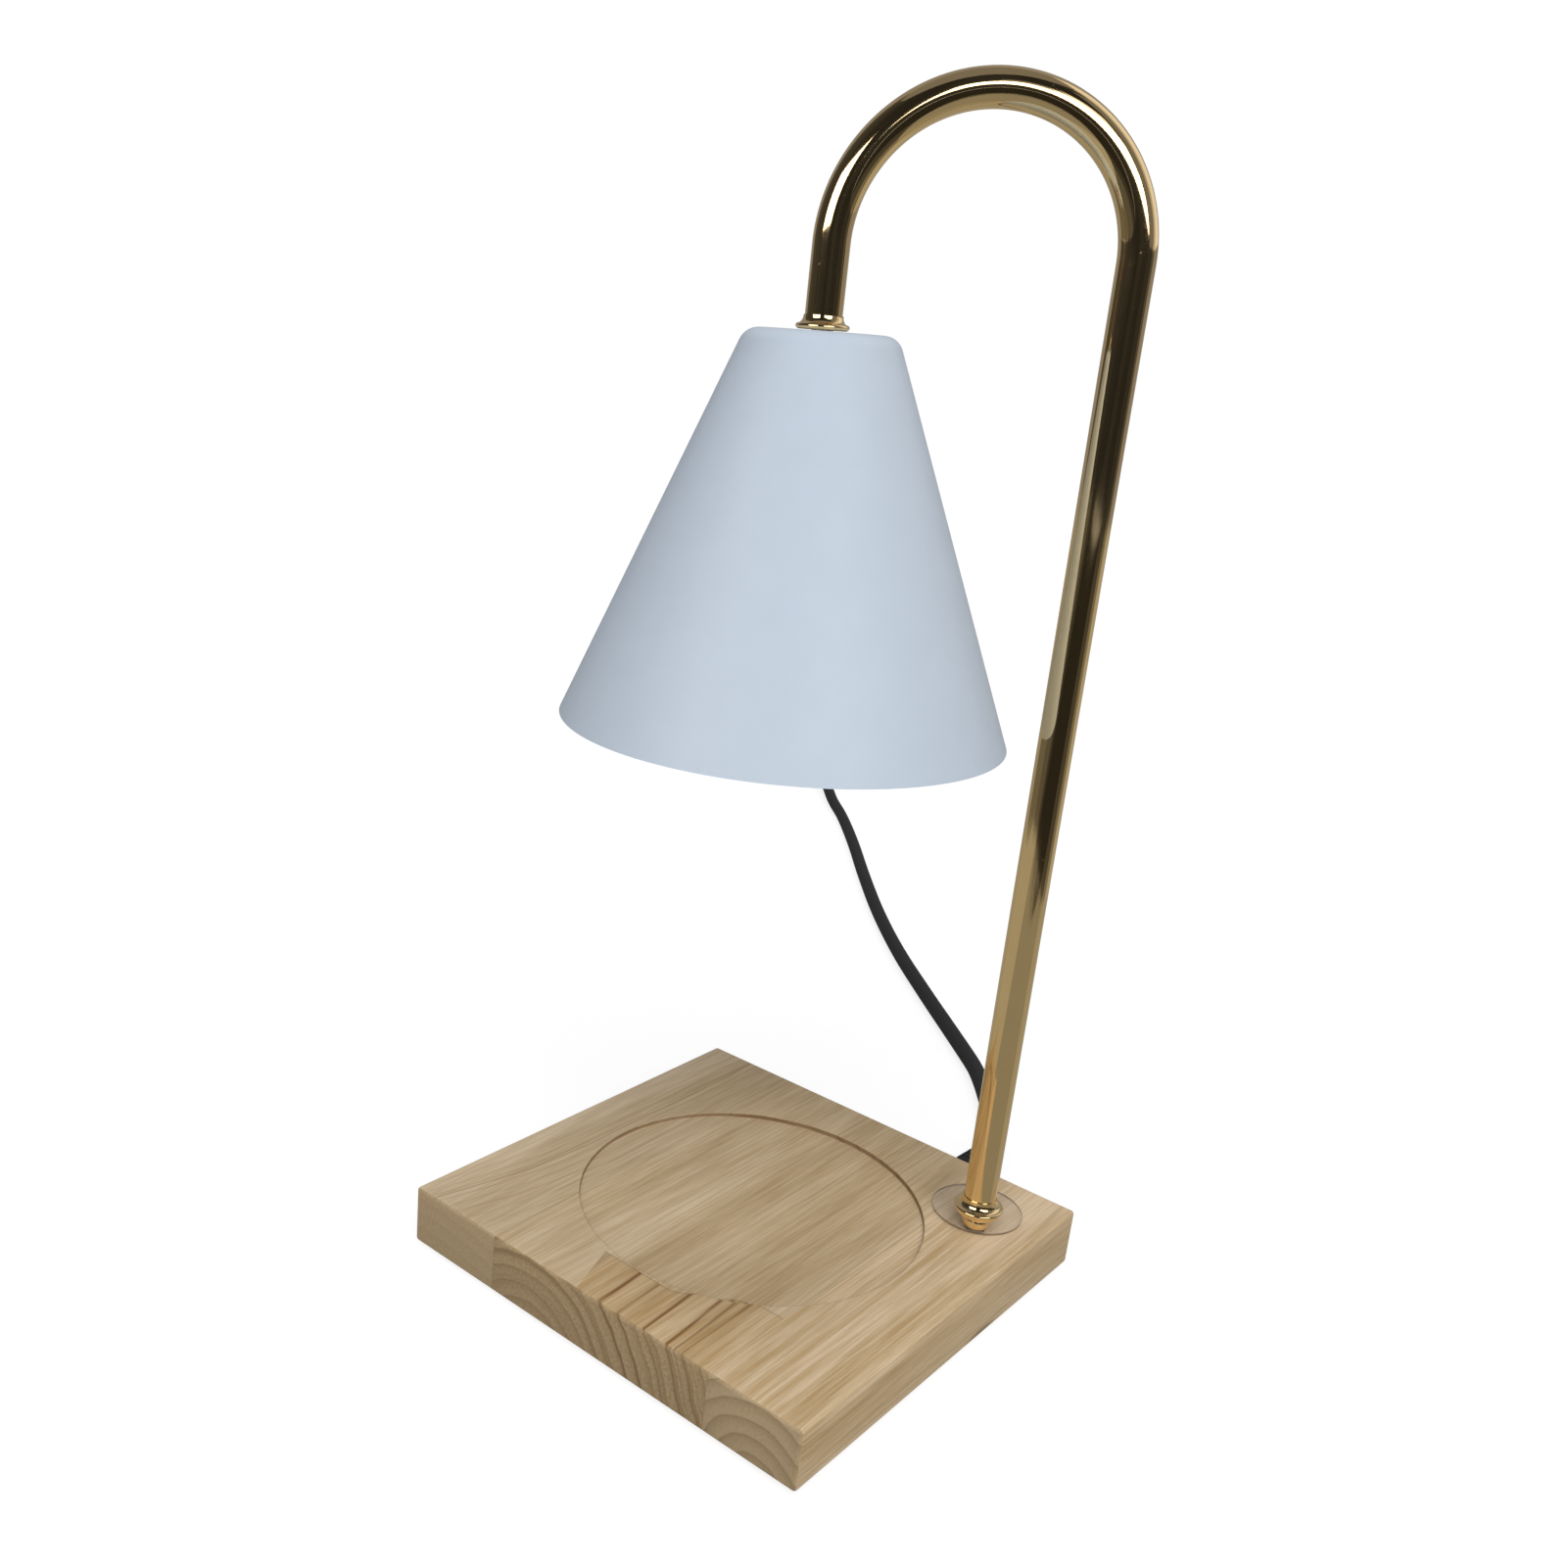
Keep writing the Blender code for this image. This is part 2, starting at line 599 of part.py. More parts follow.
def build_cord_entry(board):
    at = (EXIT_X, EXIT_HEIGHT)
    inner_face = POCKET_BACK - GAP
    outer_face = BOARD_BACK + GAP
    # The sleeve's profile is turned about Z, then laid along Y
    profile = [
        (CORD_BORE, RELIEF_TIP),
        (RELIEF_TIP_RADIUS, RELIEF_TIP),
        (RELIEF_ROOT_RADIUS, outer_face + RELIEF_FLANGE),
        (RELIEF_FLANGE_RADIUS, outer_face + RELIEF_FLANGE),
        (RELIEF_FLANGE_RADIUS, outer_face),
        (RELIEF_NECK_RADIUS, outer_face),
        (RELIEF_NECK_RADIUS, inner_face),
        (RELIEF_ROOT_RADIUS, inner_face),
        (RELIEF_ROOT_RADIUS, inner_face - RELIEF_FLANGE),
        (CORD_BORE, inner_face - RELIEF_FLANGE),
    ]
    relief = turned("cord_relief", profile, True, sides=24)
    relief.rotation_euler = (math.radians(-90), 0, 0)
    relief.location = (EXIT_X, 0, EXIT_HEIGHT)
    part(relief, BLACK_RUBBER)
    sheath_end = POCKET_BACK - SHEATH_END_FROM_WALL
    part(cylinder("cord_inner", CORD_RADIUS, sheath_end, RELIEF_TIP, at=at, axis="Y", sides=12),
         BLACK_PLASTIC)
    # The clamp bar goes over the cord from below and is screwed up into the pocket's ceiling
    middle = POCKET_BACK - CLAMP_FROM_WALL
    clamp_top = EXIT_HEIGHT + GAP
    clamp = box(
        "cord_clamp",
        (EXIT_X - CLAMP_LENGTH / 2, middle - CLAMP_WIDTH / 2, clamp_top - CLAMP_HEIGHT),
        (EXIT_X + CLAMP_LENGTH / 2, middle + CLAMP_WIDTH / 2, clamp_top),
    )
    groove = cylinder("clamp_groove", CORD_BORE, middle - CLAMP_WIDTH, middle + CLAMP_WIDTH,
                      at=at, axis="Y", sides=12)
    boolean(clamp, cutter(groove))
    for index, side in enumerate((-1, 1), 1):
        place = (EXIT_X + side * CLAMP_SCREW_SPACING / 2, middle)
        head = clamp_top - CLAMP_HEIGHT - SCREW_HEAD_THICKNESS - GAP
        # The screw stops inside a pilot hole above the pocket
        tip = POCKET_CEILING + CLAMP_SCREW_LENGTH / 4
        hole = cutter(cylinder(f"clamp_hole_{index}", SCREW_RADIUS + GAP, head, tip + GAP,
                               at=place, sides=12))
        boolean(clamp, hole)
        boolean(board, hole)
        part(screw(f"clamp_screw_{index}", head, tip, place), STEEL)
        post = turned(f"clamp_spacer_{index}",
                      ring_profile(SCREW_HEAD_RADIUS, SCREW_RADIUS + GAP, clamp_top + GAP,
                                   POCKET_CEILING - GAP),
                      True, at=place, sides=SMALL_SIDES)
        part(post, BLACK_PLASTIC)
    part(clamp, BLACK_PLASTIC)


# Pole, collars, nipples and nuts

def concave_flare(outer, top_radius, low, high, steps=5):
    """A hollow quarter from the top edge near the tube down and out to the lip."""
    angles = [math.radians(90) * step / steps for step in range(steps, -1, -1)]
    return [
        (outer - (outer - top_radius) * math.sin(angle), high - (high - low) * math.cos(angle))
        for angle in angles
    ]


def build_pole():
    at = (POLE_X, POLE_Y)
    cup = TUBE_RADIUS + GAP
    bore = NIPPLE_RADIUS + GAP
    disc_place = (POLE_X + DISC_SHIFT_X, POLE_Y + DISC_SHIFT_Y)
    disc_low = BOARD_TOP + GAP
    disc = cylinder("foot_disc", DISC_RADIUS, disc_low, disc_low + DISC_THICKNESS, at=disc_place, sides=48)
    hole = cutter(cylinder("disc_hole", bore, disc_low - OVERRUN, disc_low + OVERRUN, at=at))
    part(boolean(disc, hole), CLEAR)

    lip_high = COLLAR_BASE + COLLAR_LIP_HEIGHT + COLLAR_LIP_THICKNESS / 2
    lip_low = lip_high - COLLAR_LIP_THICKNESS
    waist = COLLAR_BASE + COLLAR_WAIST_HEIGHT
    top = COLLAR_BASE + COLLAR_HEIGHT
    bead_middle = COLLAR_BASE + COLLAR_WAIST_HEIGHT / 2
    profile = [(cup, top)]
    profile += concave_flare(COLLAR_LIP_RADIUS - COLLAR_EDGE, cup + COLLAR_EDGE, lip_high, top)
    profile += [
        (COLLAR_LIP_RADIUS, lip_high - COLLAR_EDGE / 2),
        (COLLAR_LIP_RADIUS, lip_low),
        (COLLAR_LIP_RADIUS - COLLAR_EDGE, lip_low - COLLAR_EDGE),
        (COLLAR_WAIST_RADIUS, waist),
        (COLLAR_BEAD_RADIUS - COLLAR_EDGE / 4, bead_middle + COLLAR_EDGE * 2),
        (COLLAR_BEAD_RADIUS, bead_middle),
        (COLLAR_BEAD_RADIUS - COLLAR_EDGE / 4, bead_middle - COLLAR_EDGE * 2),
        (COLLAR_BEAD_RADIUS - COLLAR_EDGE, COLLAR_BASE),
        (bore, COLLAR_BASE),
        (bore, top - COLLAR_CUP_DEPTH),
        (cup, top - COLLAR_CUP_DEPTH),
    ]
    part(turned("foot_collar", profile, True, at=at), GOLD)

    path = [Vector((POLE_X, POLE_Y, TUBE_FOOT))]
    path += arch_points()
    path.append(Vector((SHADE_PLACE.x, SHADE_PLACE.y, ARM_END)))
    outer = as_mesh(tube("pole_tube", path, TUBE_RADIUS, resolution=6))
    longer = [path[0] - Vector((0, 0, OVERRUN)), *path[1:-1], path[-1] - Vector((0, 0, OVERRUN))]
    inner = as_mesh(tube("pole_bore", longer, TUBE_RADIUS - TUBE_WALL, resolution=6))
    part(boolean(outer, cutter(inner)), GOLD)

    nipple_top = TUBE_FOOT + NIPPLE_REACH
    part(turned("pole_nipple", ring_profile(NIPPLE_RADIUS, NIPPLE_BORE, POLE_NIPPLE_END, nipple_top),
                True, at=at, sides=24), STEEL)
    part(turned("pole_bush",
                ring_profile(TUBE_RADIUS - TUBE_WALL - GAP, bore, TUBE_FOOT, TUBE_FOOT + BUSH_LENGTH),
                True, at=at, sides=24), BRASS)
    part(washer("pole_washer", POLE_WASHER_TOP - WASHER_THICKNESS, POLE_WASHER_TOP, at, bore), STEEL)
    part(hex_nut("pole_nut", POLE_NUT_TOP - NUT_THICKNESS, POLE_NUT_TOP, at, bore), STEEL)


def arch_points():
    """The half circle of the tube's middle line, from above the pole to above the shade."""
    centre = POLE_PLACE + ARCH_RADIUS * ARM_DIRECTION
    found = []
    for step in range(ARCH_STEPS + 1):
        angle = math.pi * step / ARCH_STEPS
        out = centre - ARCH_RADIUS * math.cos(angle) * ARM_DIRECTION
        found.append(Vector((out.x, out.y, ARCH_CENTRE_HEIGHT + ARCH_RADIUS * math.sin(angle))))
    return found


def build_wires():
    """Two cores from the cord's end up the pole, over the arch and down to the lampholder."""
    start_y = POCKET_BACK - SHEATH_END_FROM_WALL - GAP
    step = 8 * WIRE_RADIUS
    low = POLE_NIPPLE_END - WIRE_SPREAD - WIRE_RADIUS
    for name, side, finish in (("lamp_wire_live", 1, WIRE_BROWN), ("lamp_wire_neutral", -1, WIRE_BLUE)):
        shift = side * WIRE_SPREAD * ARM_SIDE
        inside = [
            Vector((EXIT_X - side * WIRE_SPREAD, start_y, EXIT_HEIGHT)),
            Vector((EXIT_X - side * WIRE_SPREAD, start_y - WIRE_SPREAD, EXIT_HEIGHT)),
            Vector((EXIT_X + 3 * WIRE_SPREAD, POLE_Y - (2 + side) * WIRE_SPREAD, EXIT_HEIGHT - WIRE_SPREAD)),
            Vector((POCKET_X, POLE_Y - side * WIRE_SPREAD, low)),
            POLE_PLACE + shift + Vector((-5 * WIRE_SPREAD, 0, low - WIRE_RADIUS)),
            POLE_PLACE + shift + Vector((-WIRE_SPREAD / 2, 0, low + WIRE_SPREAD / 2)),
            POLE_PLACE + shift + Vector((0, 0, POLE_NIPPLE_END + 2 * WIRE_SPREAD)),
            POLE_PLACE + shift + Vector((0, 0, TUBE_FOOT)),
        ]
        bend = smooth_route(inside, step / 2)
        over = [point + shift for point in arch_points()]
        end = SHADE_PLACE + shift + Vector((0, 0, HOLDER_TOP + GAP))
        wire = tube(name, [*bend, *over, end], WIRE_RADIUS, resolution=2)
        part(wire, finish)


# Shade, bracket and lampholder

def build_shade():
    at = (SHADE_PLACE.x, SHADE_PLACE.y)
    bore = NIPPLE_RADIUS + GAP
    turn = math.radians(90) - SHADE_LEAN
    reach = SHADE_SHOULDER * math.tan(turn / 2)
    centre = (SHADE_TOP_RADIUS - reach, SHADE_TOP_HEIGHT - SHADE_SHOULDER)
    steps = 4
    angles = [math.radians(90) - turn * step / steps for step in range(steps + 1)]

    def shoulder(radius):
        return [(centre[0] + radius * math.cos(a), centre[1] + radius * math.sin(a)) for a in angles]

    across = SHADE_WALL / math.cos(SHADE_LEAN)
    profile = [
        (bore, SHADE_TOP_HEIGHT),
        *shoulder(SHADE_SHOULDER),
        (SHADE_RIM_RADIUS, SHADE_RIM_HEIGHT),
        (SHADE_RIM_RADIUS - across, SHADE_RIM_HEIGHT),
        *reversed(shoulder(SHADE_SHOULDER - SHADE_WALL)),
        (bore, SHADE_TOP_HEIGHT - SHADE_WALL),
    ]
    part(turned("shade", profile, True, at=at, sides=WIDE_SIDES), WHITE_COAT)

    cup = TUBE_RADIUS + GAP
    top = SHADE_COLLAR_SEAT + SHADE_COLLAR_HEIGHT
    lip = SHADE_COLLAR_SEAT + SHADE_COLLAR_BASE
    collar = [(cup, top)]
    collar += concave_flare(SHADE_COLLAR_RADIUS - COLLAR_EDGE, cup + COLLAR_EDGE, lip, top)
    collar += [
        (SHADE_COLLAR_RADIUS, lip - COLLAR_EDGE / 2),
        (SHADE_COLLAR_RADIUS, SHADE_COLLAR_SEAT),
        (bore, SHADE_COLLAR_SEAT),
        (bore, top - SHADE_COLLAR_CUP_DEPTH),
        (cup, top - SHADE_COLLAR_CUP_DEPTH),
    ]
    part(turned("shade_collar", collar, True, at=at), GOLD)

    nipple = ring_profile(NIPPLE_RADIUS, NIPPLE_BORE, SHADE_NIPPLE_END, ARM_END + NIPPLE_REACH)
    part(turned("shade_nipple", nipple, True, at=at, sides=24), STEEL)
    bush = ring_profile(TUBE_RADIUS - TUBE_WALL - GAP, bore, ARM_END, ARM_END + BUSH_LENGTH)
    part(turned("arm_bush", bush, True, at=at, sides=24), BRASS)
    part(washer("shade_washer", SHADE_WASHER_TOP - WASHER_THICKNESS, SHADE_WASHER_TOP, at, bore), STEEL)
    part(hex_nut("shade_nut", SHADE_NUT_TOP - NUT_THICKNESS, SHADE_NUT_TOP, at, bore), STEEL)


def build_holder():
    place = place_for("shade_axis", SHADE_PLACE)
    leg_low = HOLDER_TOP - BRACKET_LEG / 2
    inner = BRACKET_REACH - BRACKET_THICKNESS
    under = BRACKET_TOP - BRACKET_THICKNESS
    outline = [
        (-BRACKET_REACH, leg_low),
        (-inner, leg_low),
        (-inner, under),
        (inner, under),
        (inner, leg_low),
        (BRACKET_REACH, leg_low),
        (BRACKET_REACH, BRACKET_TOP),
        (-BRACKET_REACH, BRACKET_TOP),
    ]
    strap = flat_outline("holder_bracket", [outline], BRACKET_WIDTH / 2)
    strap.rotation_euler = (math.radians(90), 0, 0)
    bracket = as_mesh(strap)
    hole = cutter(cylinder("bracket_hole", NIPPLE_RADIUS + GAP, under - OVERRUN, BRACKET_TOP + OVERRUN),
                  place)
    boolean(bracket, hole)

    holder = cylinder("lampholder", HOLDER_RADIUS, HOLDER_BOTTOM, HOLDER_TOP, sides=ROUND_SIDES)
    for side in (0, 1):
        start = math.pi * side
        chamber = as_mesh(arc_slot(f"pin_chamber_{side}", PIN_HEAD_RADIUS + GAP, start))
        chamber.location.z = HOLDER_BOTTOM + PIN_LIP + chamber_depth() / 2
        stretch(chamber, chamber_depth())
        slot = as_mesh(arc_slot(f"pin_slot_{side}", PIN_RADIUS + GAP, start))
        slot.location.z = HOLDER_BOTTOM + PIN_LIP / 2
        stretch(slot, PIN_LIP + OVERRUN)
        entry_angle = start - PIN_TURN
        entry = cylinder(
            f"pin_entry_{side}", PIN_HEAD_RADIUS + GAP, HOLDER_BOTTOM - OVERRUN,
            HOLDER_BOTTOM + PIN_LIP + OVERRUN / 2,
            at=(PIN_CIRCLE_RADIUS * math.cos(entry_angle), PIN_CIRCLE_RADIUS * math.sin(entry_angle)),
        )
        for tool in (chamber, slot, entry):
            boolean(holder, cutter(tool, place))
    height = HOLDER_TOP - HOLDER_SCREW_DROP
    for index, side in enumerate((-1, 1), 1):
        head = side * (BRACKET_REACH + GAP + SCREW_HEAD_THICKNESS)
        tip = head - side * HOLDER_SCREW_LENGTH
        low, high = sorted((head, tip - side * GAP))
        hole = cutter(cylinder(f"holder_hole_{index}", SCREW_RADIUS + GAP, low, high, at=(0, height),
                               axis="X", sides=12), place)
        boolean(bracket, hole)
        boolean(holder, hole)
        part(screw_across(f"holder_screw_{index}", head, tip, height, place), STEEL, place)
    part(bracket, STEEL, place)
    part(holder, CERAMIC, place)


def screw_across(name, head, tip, height, place):
    made = screw(name, head, tip, (0, height), axis="X")
    bpy.data.objects[f"{name}_shank"].parent = place
    return made


def chamber_depth():
    return PIN_HEAD_THICKNESS + 4 * GAP


def arc_slot(name, half_width, start):
    """A slot along the pins' circle from start back through their turn, with round ends."""
    steps = 8
    end = start - PIN_TURN
    outline = []
    for step in range(steps + 1):
        angle = start + (end - start) * step / steps
        radius = PIN_CIRCLE_RADIUS + half_width
        outline.append((radius * math.cos(angle), radius * math.sin(angle)))
    outline += round_end(end, half_width, -1, steps)
    for step in range(steps + 1):
        angle = end + (start - end) * step / steps
        radius = PIN_CIRCLE_RADIUS - half_width
        outline.append((radius * math.cos(angle), radius * math.sin(angle)))
    outline += round_end(start, half_width, 1, steps)
    return flat_outline(name, [outline], half_width)


def round_end(angle, half_width, side, steps):
    """The inner points of a half circle that closes a slot at an angle of the pins' circle."""
    centre = (PIN_CIRCLE_RADIUS * math.cos(angle), PIN_CIRCLE_RADIUS * math.sin(angle))
    first = angle if side < 0 else angle + math.pi
    points = []
    for step in range(1, steps):
        turn = first - math.pi * step / steps
        points.append((centre[0] + half_width * math.cos(turn), centre[1] + half_width * math.sin(turn)))
    return points


def stretch(obj, depth):
    """Gives a flat cutter its depth along Z."""
    heights = [vertex.co.z for vertex in obj.data.vertices]
    factor = depth / (max(heights) - min(heights))
    for vertex in obj.data.vertices:
        vertex.co.z *= factor


# Bulb

def build_bulb():
    axis = place_for("bulb_axis", SHADE_PLACE)
    base_low = BULB_TOP - BULB_BASE_HEIGHT
    base = turned("bulb_base", [
        (0, BULB_TOP),
        (BULB_BASE_RADIUS, BULB_TOP),
        (BULB_BASE_RADIUS, (BULB_TOP + base_low) / 2),
        (BULB_BASE_SHOULDER, base_low + REFLECTOR_RIM),
        (BULB_BASE_SHOULDER, base_low),
        (0, base_low),
    ], False)
    part(base, CERAMIC, axis)
    head_low = HOLDER_BOTTOM + PIN_LIP + GAP
    for index, angle in enumerate((0, math.pi), 1):
        at = (PIN_CIRCLE_RADIUS * math.cos(angle), PIN_CIRCLE_RADIUS * math.sin(angle))
        pin = turned(f"bulb_pin_{index}", [
            (0, head_low + PIN_HEAD_THICKNESS),
            (PIN_HEAD_RADIUS, head_low + PIN_HEAD_THICKNESS),
            (PIN_HEAD_RADIUS, head_low),
            (PIN_RADIUS, head_low),
            (PIN_RADIUS, BULB_TOP + PIN_ROOT),
            (0, BULB_TOP + PIN_ROOT),
        ], False, at=at, sides=SMALL_SIDES)
        part(pin, STEEL, axis)

    rim_low = REFLECTOR_TOP - REFLECTOR_HEIGHT
    rim_high = rim_low + REFLECTOR_RIM
    depth = REFLECTOR_TOP - rim_high
    steps = 7

    def bowl(neck, wide, top, low):
        found = []
        for step in range(steps + 1):
            share = step / steps
            found.append((neck + (wide - neck) * math.sqrt(share), top - (top - low) * share))
        return found

    inner_neck = REFLECTOR_NECK - REFLECTOR_WALL
    inner_wide = REFLECTOR_RADIUS - REFLECTOR_WALL
    mouth = CAPSULE_RADIUS + GAP
    outer = bowl(REFLECTOR_NECK, REFLECTOR_RADIUS, REFLECTOR_TOP, rim_high)
    inner = bowl(inner_neck, inner_wide, REFLECTOR_TOP - REFLECTOR_WALL, rim_high)
    profile = [(mouth, REFLECTOR_TOP), *outer, (REFLECTOR_RADIUS, rim_low), (inner_wide, rim_low)]
    profile += [*reversed(inner), (mouth, REFLECTOR_TOP - REFLECTOR_WALL)]
    part(turned("bulb_reflector", profile, True, sides=ROUND_SIDES), REFLECTOR, axis)

    lens_low = rim_low + GAP
    lens = turned("bulb_lens", [
        (0, lens_low + LENS_THICKNESS),
        (inner_wide - GAP, lens_low + LENS_THICKNESS),
        (inner_wide - GAP, lens_low),
        (0, lens_low),
    ], False)
    part(lens, GLASS, axis)
    capsule_top = REFLECTOR_TOP
    capsule_low = capsule_top - CAPSULE_LENGTH
    profile = [(0, capsule_top), (CAPSULE_RADIUS, capsule_top)]
    for step in range(5):
        angle = math.radians(90) * step / 4
        profile.append((CAPSULE_RADIUS * math.cos(angle),
                        capsule_low + CAPSULE_RADIUS * (1 - math.sin(angle))))
    part(turned("bulb_capsule", profile, False, sides=SMALL_SIDES), GLASS, axis)
    return depth


# Inline roller dimmer

def build_switch():
    place = place_for("switch_place", SWITCH_PLACE, SWITCH_HEADING)
    half = Vector((CASE_LENGTH / 2, CASE_WIDTH / 2, 0))
    low = Vector((-half.x, -half.y, CASE_BOTTOM))
    high = Vector((half.x, half.y, CASE_TOP))
    inset = Vector((CASE_WALL, CASE_WALL, CASE_WALL))
    reach = Vector((OVERRUN, OVERRUN, OVERRUN))
    split = CASE_AXIS_HEIGHT

    lower = round_edges(box("dimmer_case_lower", low, high), CASE_CORNER, 3)
    upper = round_edges(box("dimmer_case_upper", low, high), CASE_CORNER, 3)
    cavity = cutter(box("case_cavity", low + inset, high - inset), place)
    above = cutter(box("case_above", (low.x - OVERRUN, low.y - OVERRUN, split), high + reach), place)
    below = cutter(box("case_below", low - reach, (high.x + OVERRUN, high.y + OVERRUN, split + GAP)), place)
    for shell, other in ((lower, above), (upper, below)):
        boolean(shell, cavity)
        boolean(shell, other)

    # Ears of the lower case carry the wheel's axle
    ear_inner = WHEEL_WIDTH / 2 + 2 * GAP
    floor = CASE_BOTTOM + CASE_WALL - GAP
    for index, side in enumerate((-1, 1), 1):
        near, far = sorted((side * ear_inner, side * (ear_inner + EAR_THICKNESS)))
        ear = box(f"axle_ear_{index}", (-EAR_LENGTH / 2, near, floor),
                  (EAR_LENGTH / 2, far, WHEEL_HEIGHT + EAR_RISE))
        boolean(lower, cutter(ear, place), "UNION")
    axle_hole = cylinder("axle_hole", AXLE_RADIUS + GAP, -CASE_WIDTH / 2 + CASE_WALL,
                         CASE_WIDTH / 2 - CASE_WALL, at=(0, WHEEL_HEIGHT), axis="Y", sides=12)
    boolean(lower, cutter(axle_hole, place))
    wheel_window = box(
        "wheel_window",
        (-WHEEL_RADIUS, -WHEEL_WIDTH / 2 - 2 * GAP, CASE_TOP - CASE_WALL - OVERRUN),
        (WHEEL_RADIUS, WHEEL_WIDTH / 2 + 2 * GAP, CASE_TOP + OVERRUN),
    )
    boolean(upper, cutter(wheel_window, place))

    # A rail each side of the wheel's far end carries the circuit board
    circuit_near = WHEEL_RADIUS + CIRCUIT_FROM_WHEEL
    circuit_low = floor + CIRCUIT_RAIL + 2 * GAP
    for index, side in enumerate((-1, 1), 1):
        near, far = sorted((side * CIRCUIT_WIDTH / 4, side * CIRCUIT_WIDTH / 2))
        rail = box(f"circuit_rail_{index}", (-circuit_near - CIRCUIT_LENGTH, near, floor),
                   (-circuit_near, far, circuit_low - GAP))
        boolean(lower, cutter(rail, place), "UNION")
    circuit = box("dimmer_circuit", (-circuit_near - CIRCUIT_LENGTH + GAP, -CIRCUIT_WIDTH / 2, circuit_low),
                  (-circuit_near, CIRCUIT_WIDTH / 2, circuit_low + CIRCUIT_THICKNESS))
    part(circuit, BOARD_GREEN, place)

    for index, side in enumerate((-1, 1), 1):
        at = (side * CASE_SCREW_SPACING / 2, 0)
        upper_boss = cylinder(f"upper_boss_{index}", CASE_BOSS_RADIUS, split + GAP,
                              CASE_TOP - CASE_WALL + GAP, at=at)
        boolean(upper, cutter(upper_boss, place), "UNION")
        lower_boss = cylinder(f"lower_boss_{index}", CASE_BOSS_RADIUS, floor, split, at=at)
        boolean(lower, cutter(lower_boss, place), "UNION")
        head = CASE_BOTTOM + GAP
        tip = head + CASE_SCREW_LENGTH
        bore = cutter(cylinder(f"case_screw_bore_{index}", SCREW_RADIUS + GAP, CASE_BOTTOM - OVERRUN,
                               tip + GAP, at=at, sides=12), place)
        sink = cutter(cylinder(f"case_screw_sink_{index}", SCREW_HEAD_RADIUS + GAP, CASE_BOTTOM - OVERRUN,
                               head + SCREW_HEAD_THICKNESS + GAP, at=at), place)
        boolean(lower, sink)
        boolean(lower, bore)
        boolean(upper, bore)
        made = screw(f"case_screw_{index}", head, tip, at)
        bpy.data.objects[f"case_screw_{index}_shank"].parent = place
        part(made, STEEL, place)

    for name, side in (("dimmer_sleeve_in", -1), ("dimmer_sleeve_out", 1)):
        sleeve_hole = cutter(cylinder(f"{name}_hole", SLEEVE_NECK_RADIUS + GAP,
                                      *sorted((side * (half.x - CASE_WALL - OVERRUN), side * (half.x + OVERRUN))),
                                      at=(0, split), axis="X"), place)
        boolean(lower, sleeve_hole)
        boolean(upper, sleeve_hole)
        part(dimmer_sleeve(name, side, split), BLACK_RUBBER, place)
    part(lower, BLACK_PLASTIC, place)
    part(upper, BLACK_PLASTIC, place)
    build_wheel(place)


def dimmer_sleeve(name, side, height):
    """A moulded sleeve: a flange inside the case, a neck in its end wall and a long taper outside."""
    outside = CASE_LENGTH / 2 + GAP
    inside = CASE_LENGTH / 2 - CASE_WALL - GAP
    sleeve = turned(name, [
        (0, outside + SLEEVE_LENGTH),
        (SLEEVE_TIP_RADIUS, outside + SLEEVE_LENGTH),
        (SLEEVE_ROOT_RADIUS, outside),
        (SLEEVE_NECK_RADIUS, outside),
        (SLEEVE_NECK_RADIUS, inside),
        (SLEEVE_ROOT_RADIUS, inside),
        (SLEEVE_ROOT_RADIUS, inside - CASE_WALL),
        (0, inside - CASE_WALL),
    ], False, sides=SMALL_SIDES)
    sleeve.rotation_euler = (0, side * math.radians(90), 0)
    sleeve.location = (0, 0, height)
    return sleeve


def build_wheel(place):
    axis = place_for("wheel_axis", (0, 0, WHEEL_HEIGHT))
    axis.parent = place
    outline = []
    for step in range(2 * WHEEL_RIDGES):
        angle = math.tau * step / (2 * WHEEL_RIDGES)
        radius = WHEEL_RADIUS - (WHEEL_RIDGE if step % 2 else 0)
        outline.append((radius * math.cos(angle), radius * math.sin(angle)))
    bore = AXLE_RADIUS + GAP
    hole = [
        (bore * math.cos(math.tau * step / SMALL_SIDES), bore * math.sin(math.tau * step / SMALL_SIDES))
        for step in range(SMALL_SIDES)
    ]
    flat = flat_outline("dimmer_wheel", [outline, hole], WHEEL_WIDTH / 2)
    flat.rotation_euler = (math.radians(90), 0, 0)
    part(as_mesh(flat), BLACK_PLASTIC, axis)
    axle = cylinder("wheel_axle", AXLE_RADIUS, -AXLE_LENGTH / 2, AXLE_LENGTH / 2, at=(0, WHEEL_HEIGHT),
                    axis="Y", sides=12)
    part(axle, STEEL, place)


# Cord, coil, tie and plug

def coil_point(turn):
    """A point of the coil after this many turns: spiral in on the low layer, out again on the high one."""
    half = COIL_TURNS / 2
    inward = min(turn, COIL_TURNS - turn)
    radius = COIL_OUTER_RADIUS - COIL_PITCH * inward
    climb = (turn - half) / COIL_CLIMB_TURNS + 1 / 2
    share = min(1, max(0, climb))
    height = COIL_LOW_HEIGHT + COIL_LAYER_STEP * share * share * (3 - 2 * share)
    angle = COIL_START_ANGLE - math.tau * turn
    return Vector((
        COIL_CENTRE.x + radius * math.cos(angle),
        COIL_CENTRE.y + radius * math.sin(angle),
        height,
    ))


def least_gap(points, skip):
    """The least distance between stretches of the coil, less one diameter."""
    places = np.array([tuple(point) for point in points])
    least = math.inf
    for index in range(len(places) - skip):
        apart = np.linalg.norm(places[index + skip:] - places[index], axis=1)
        least = min(least, float(apart.min()))
    return least - 2 * CORD_RADIUS


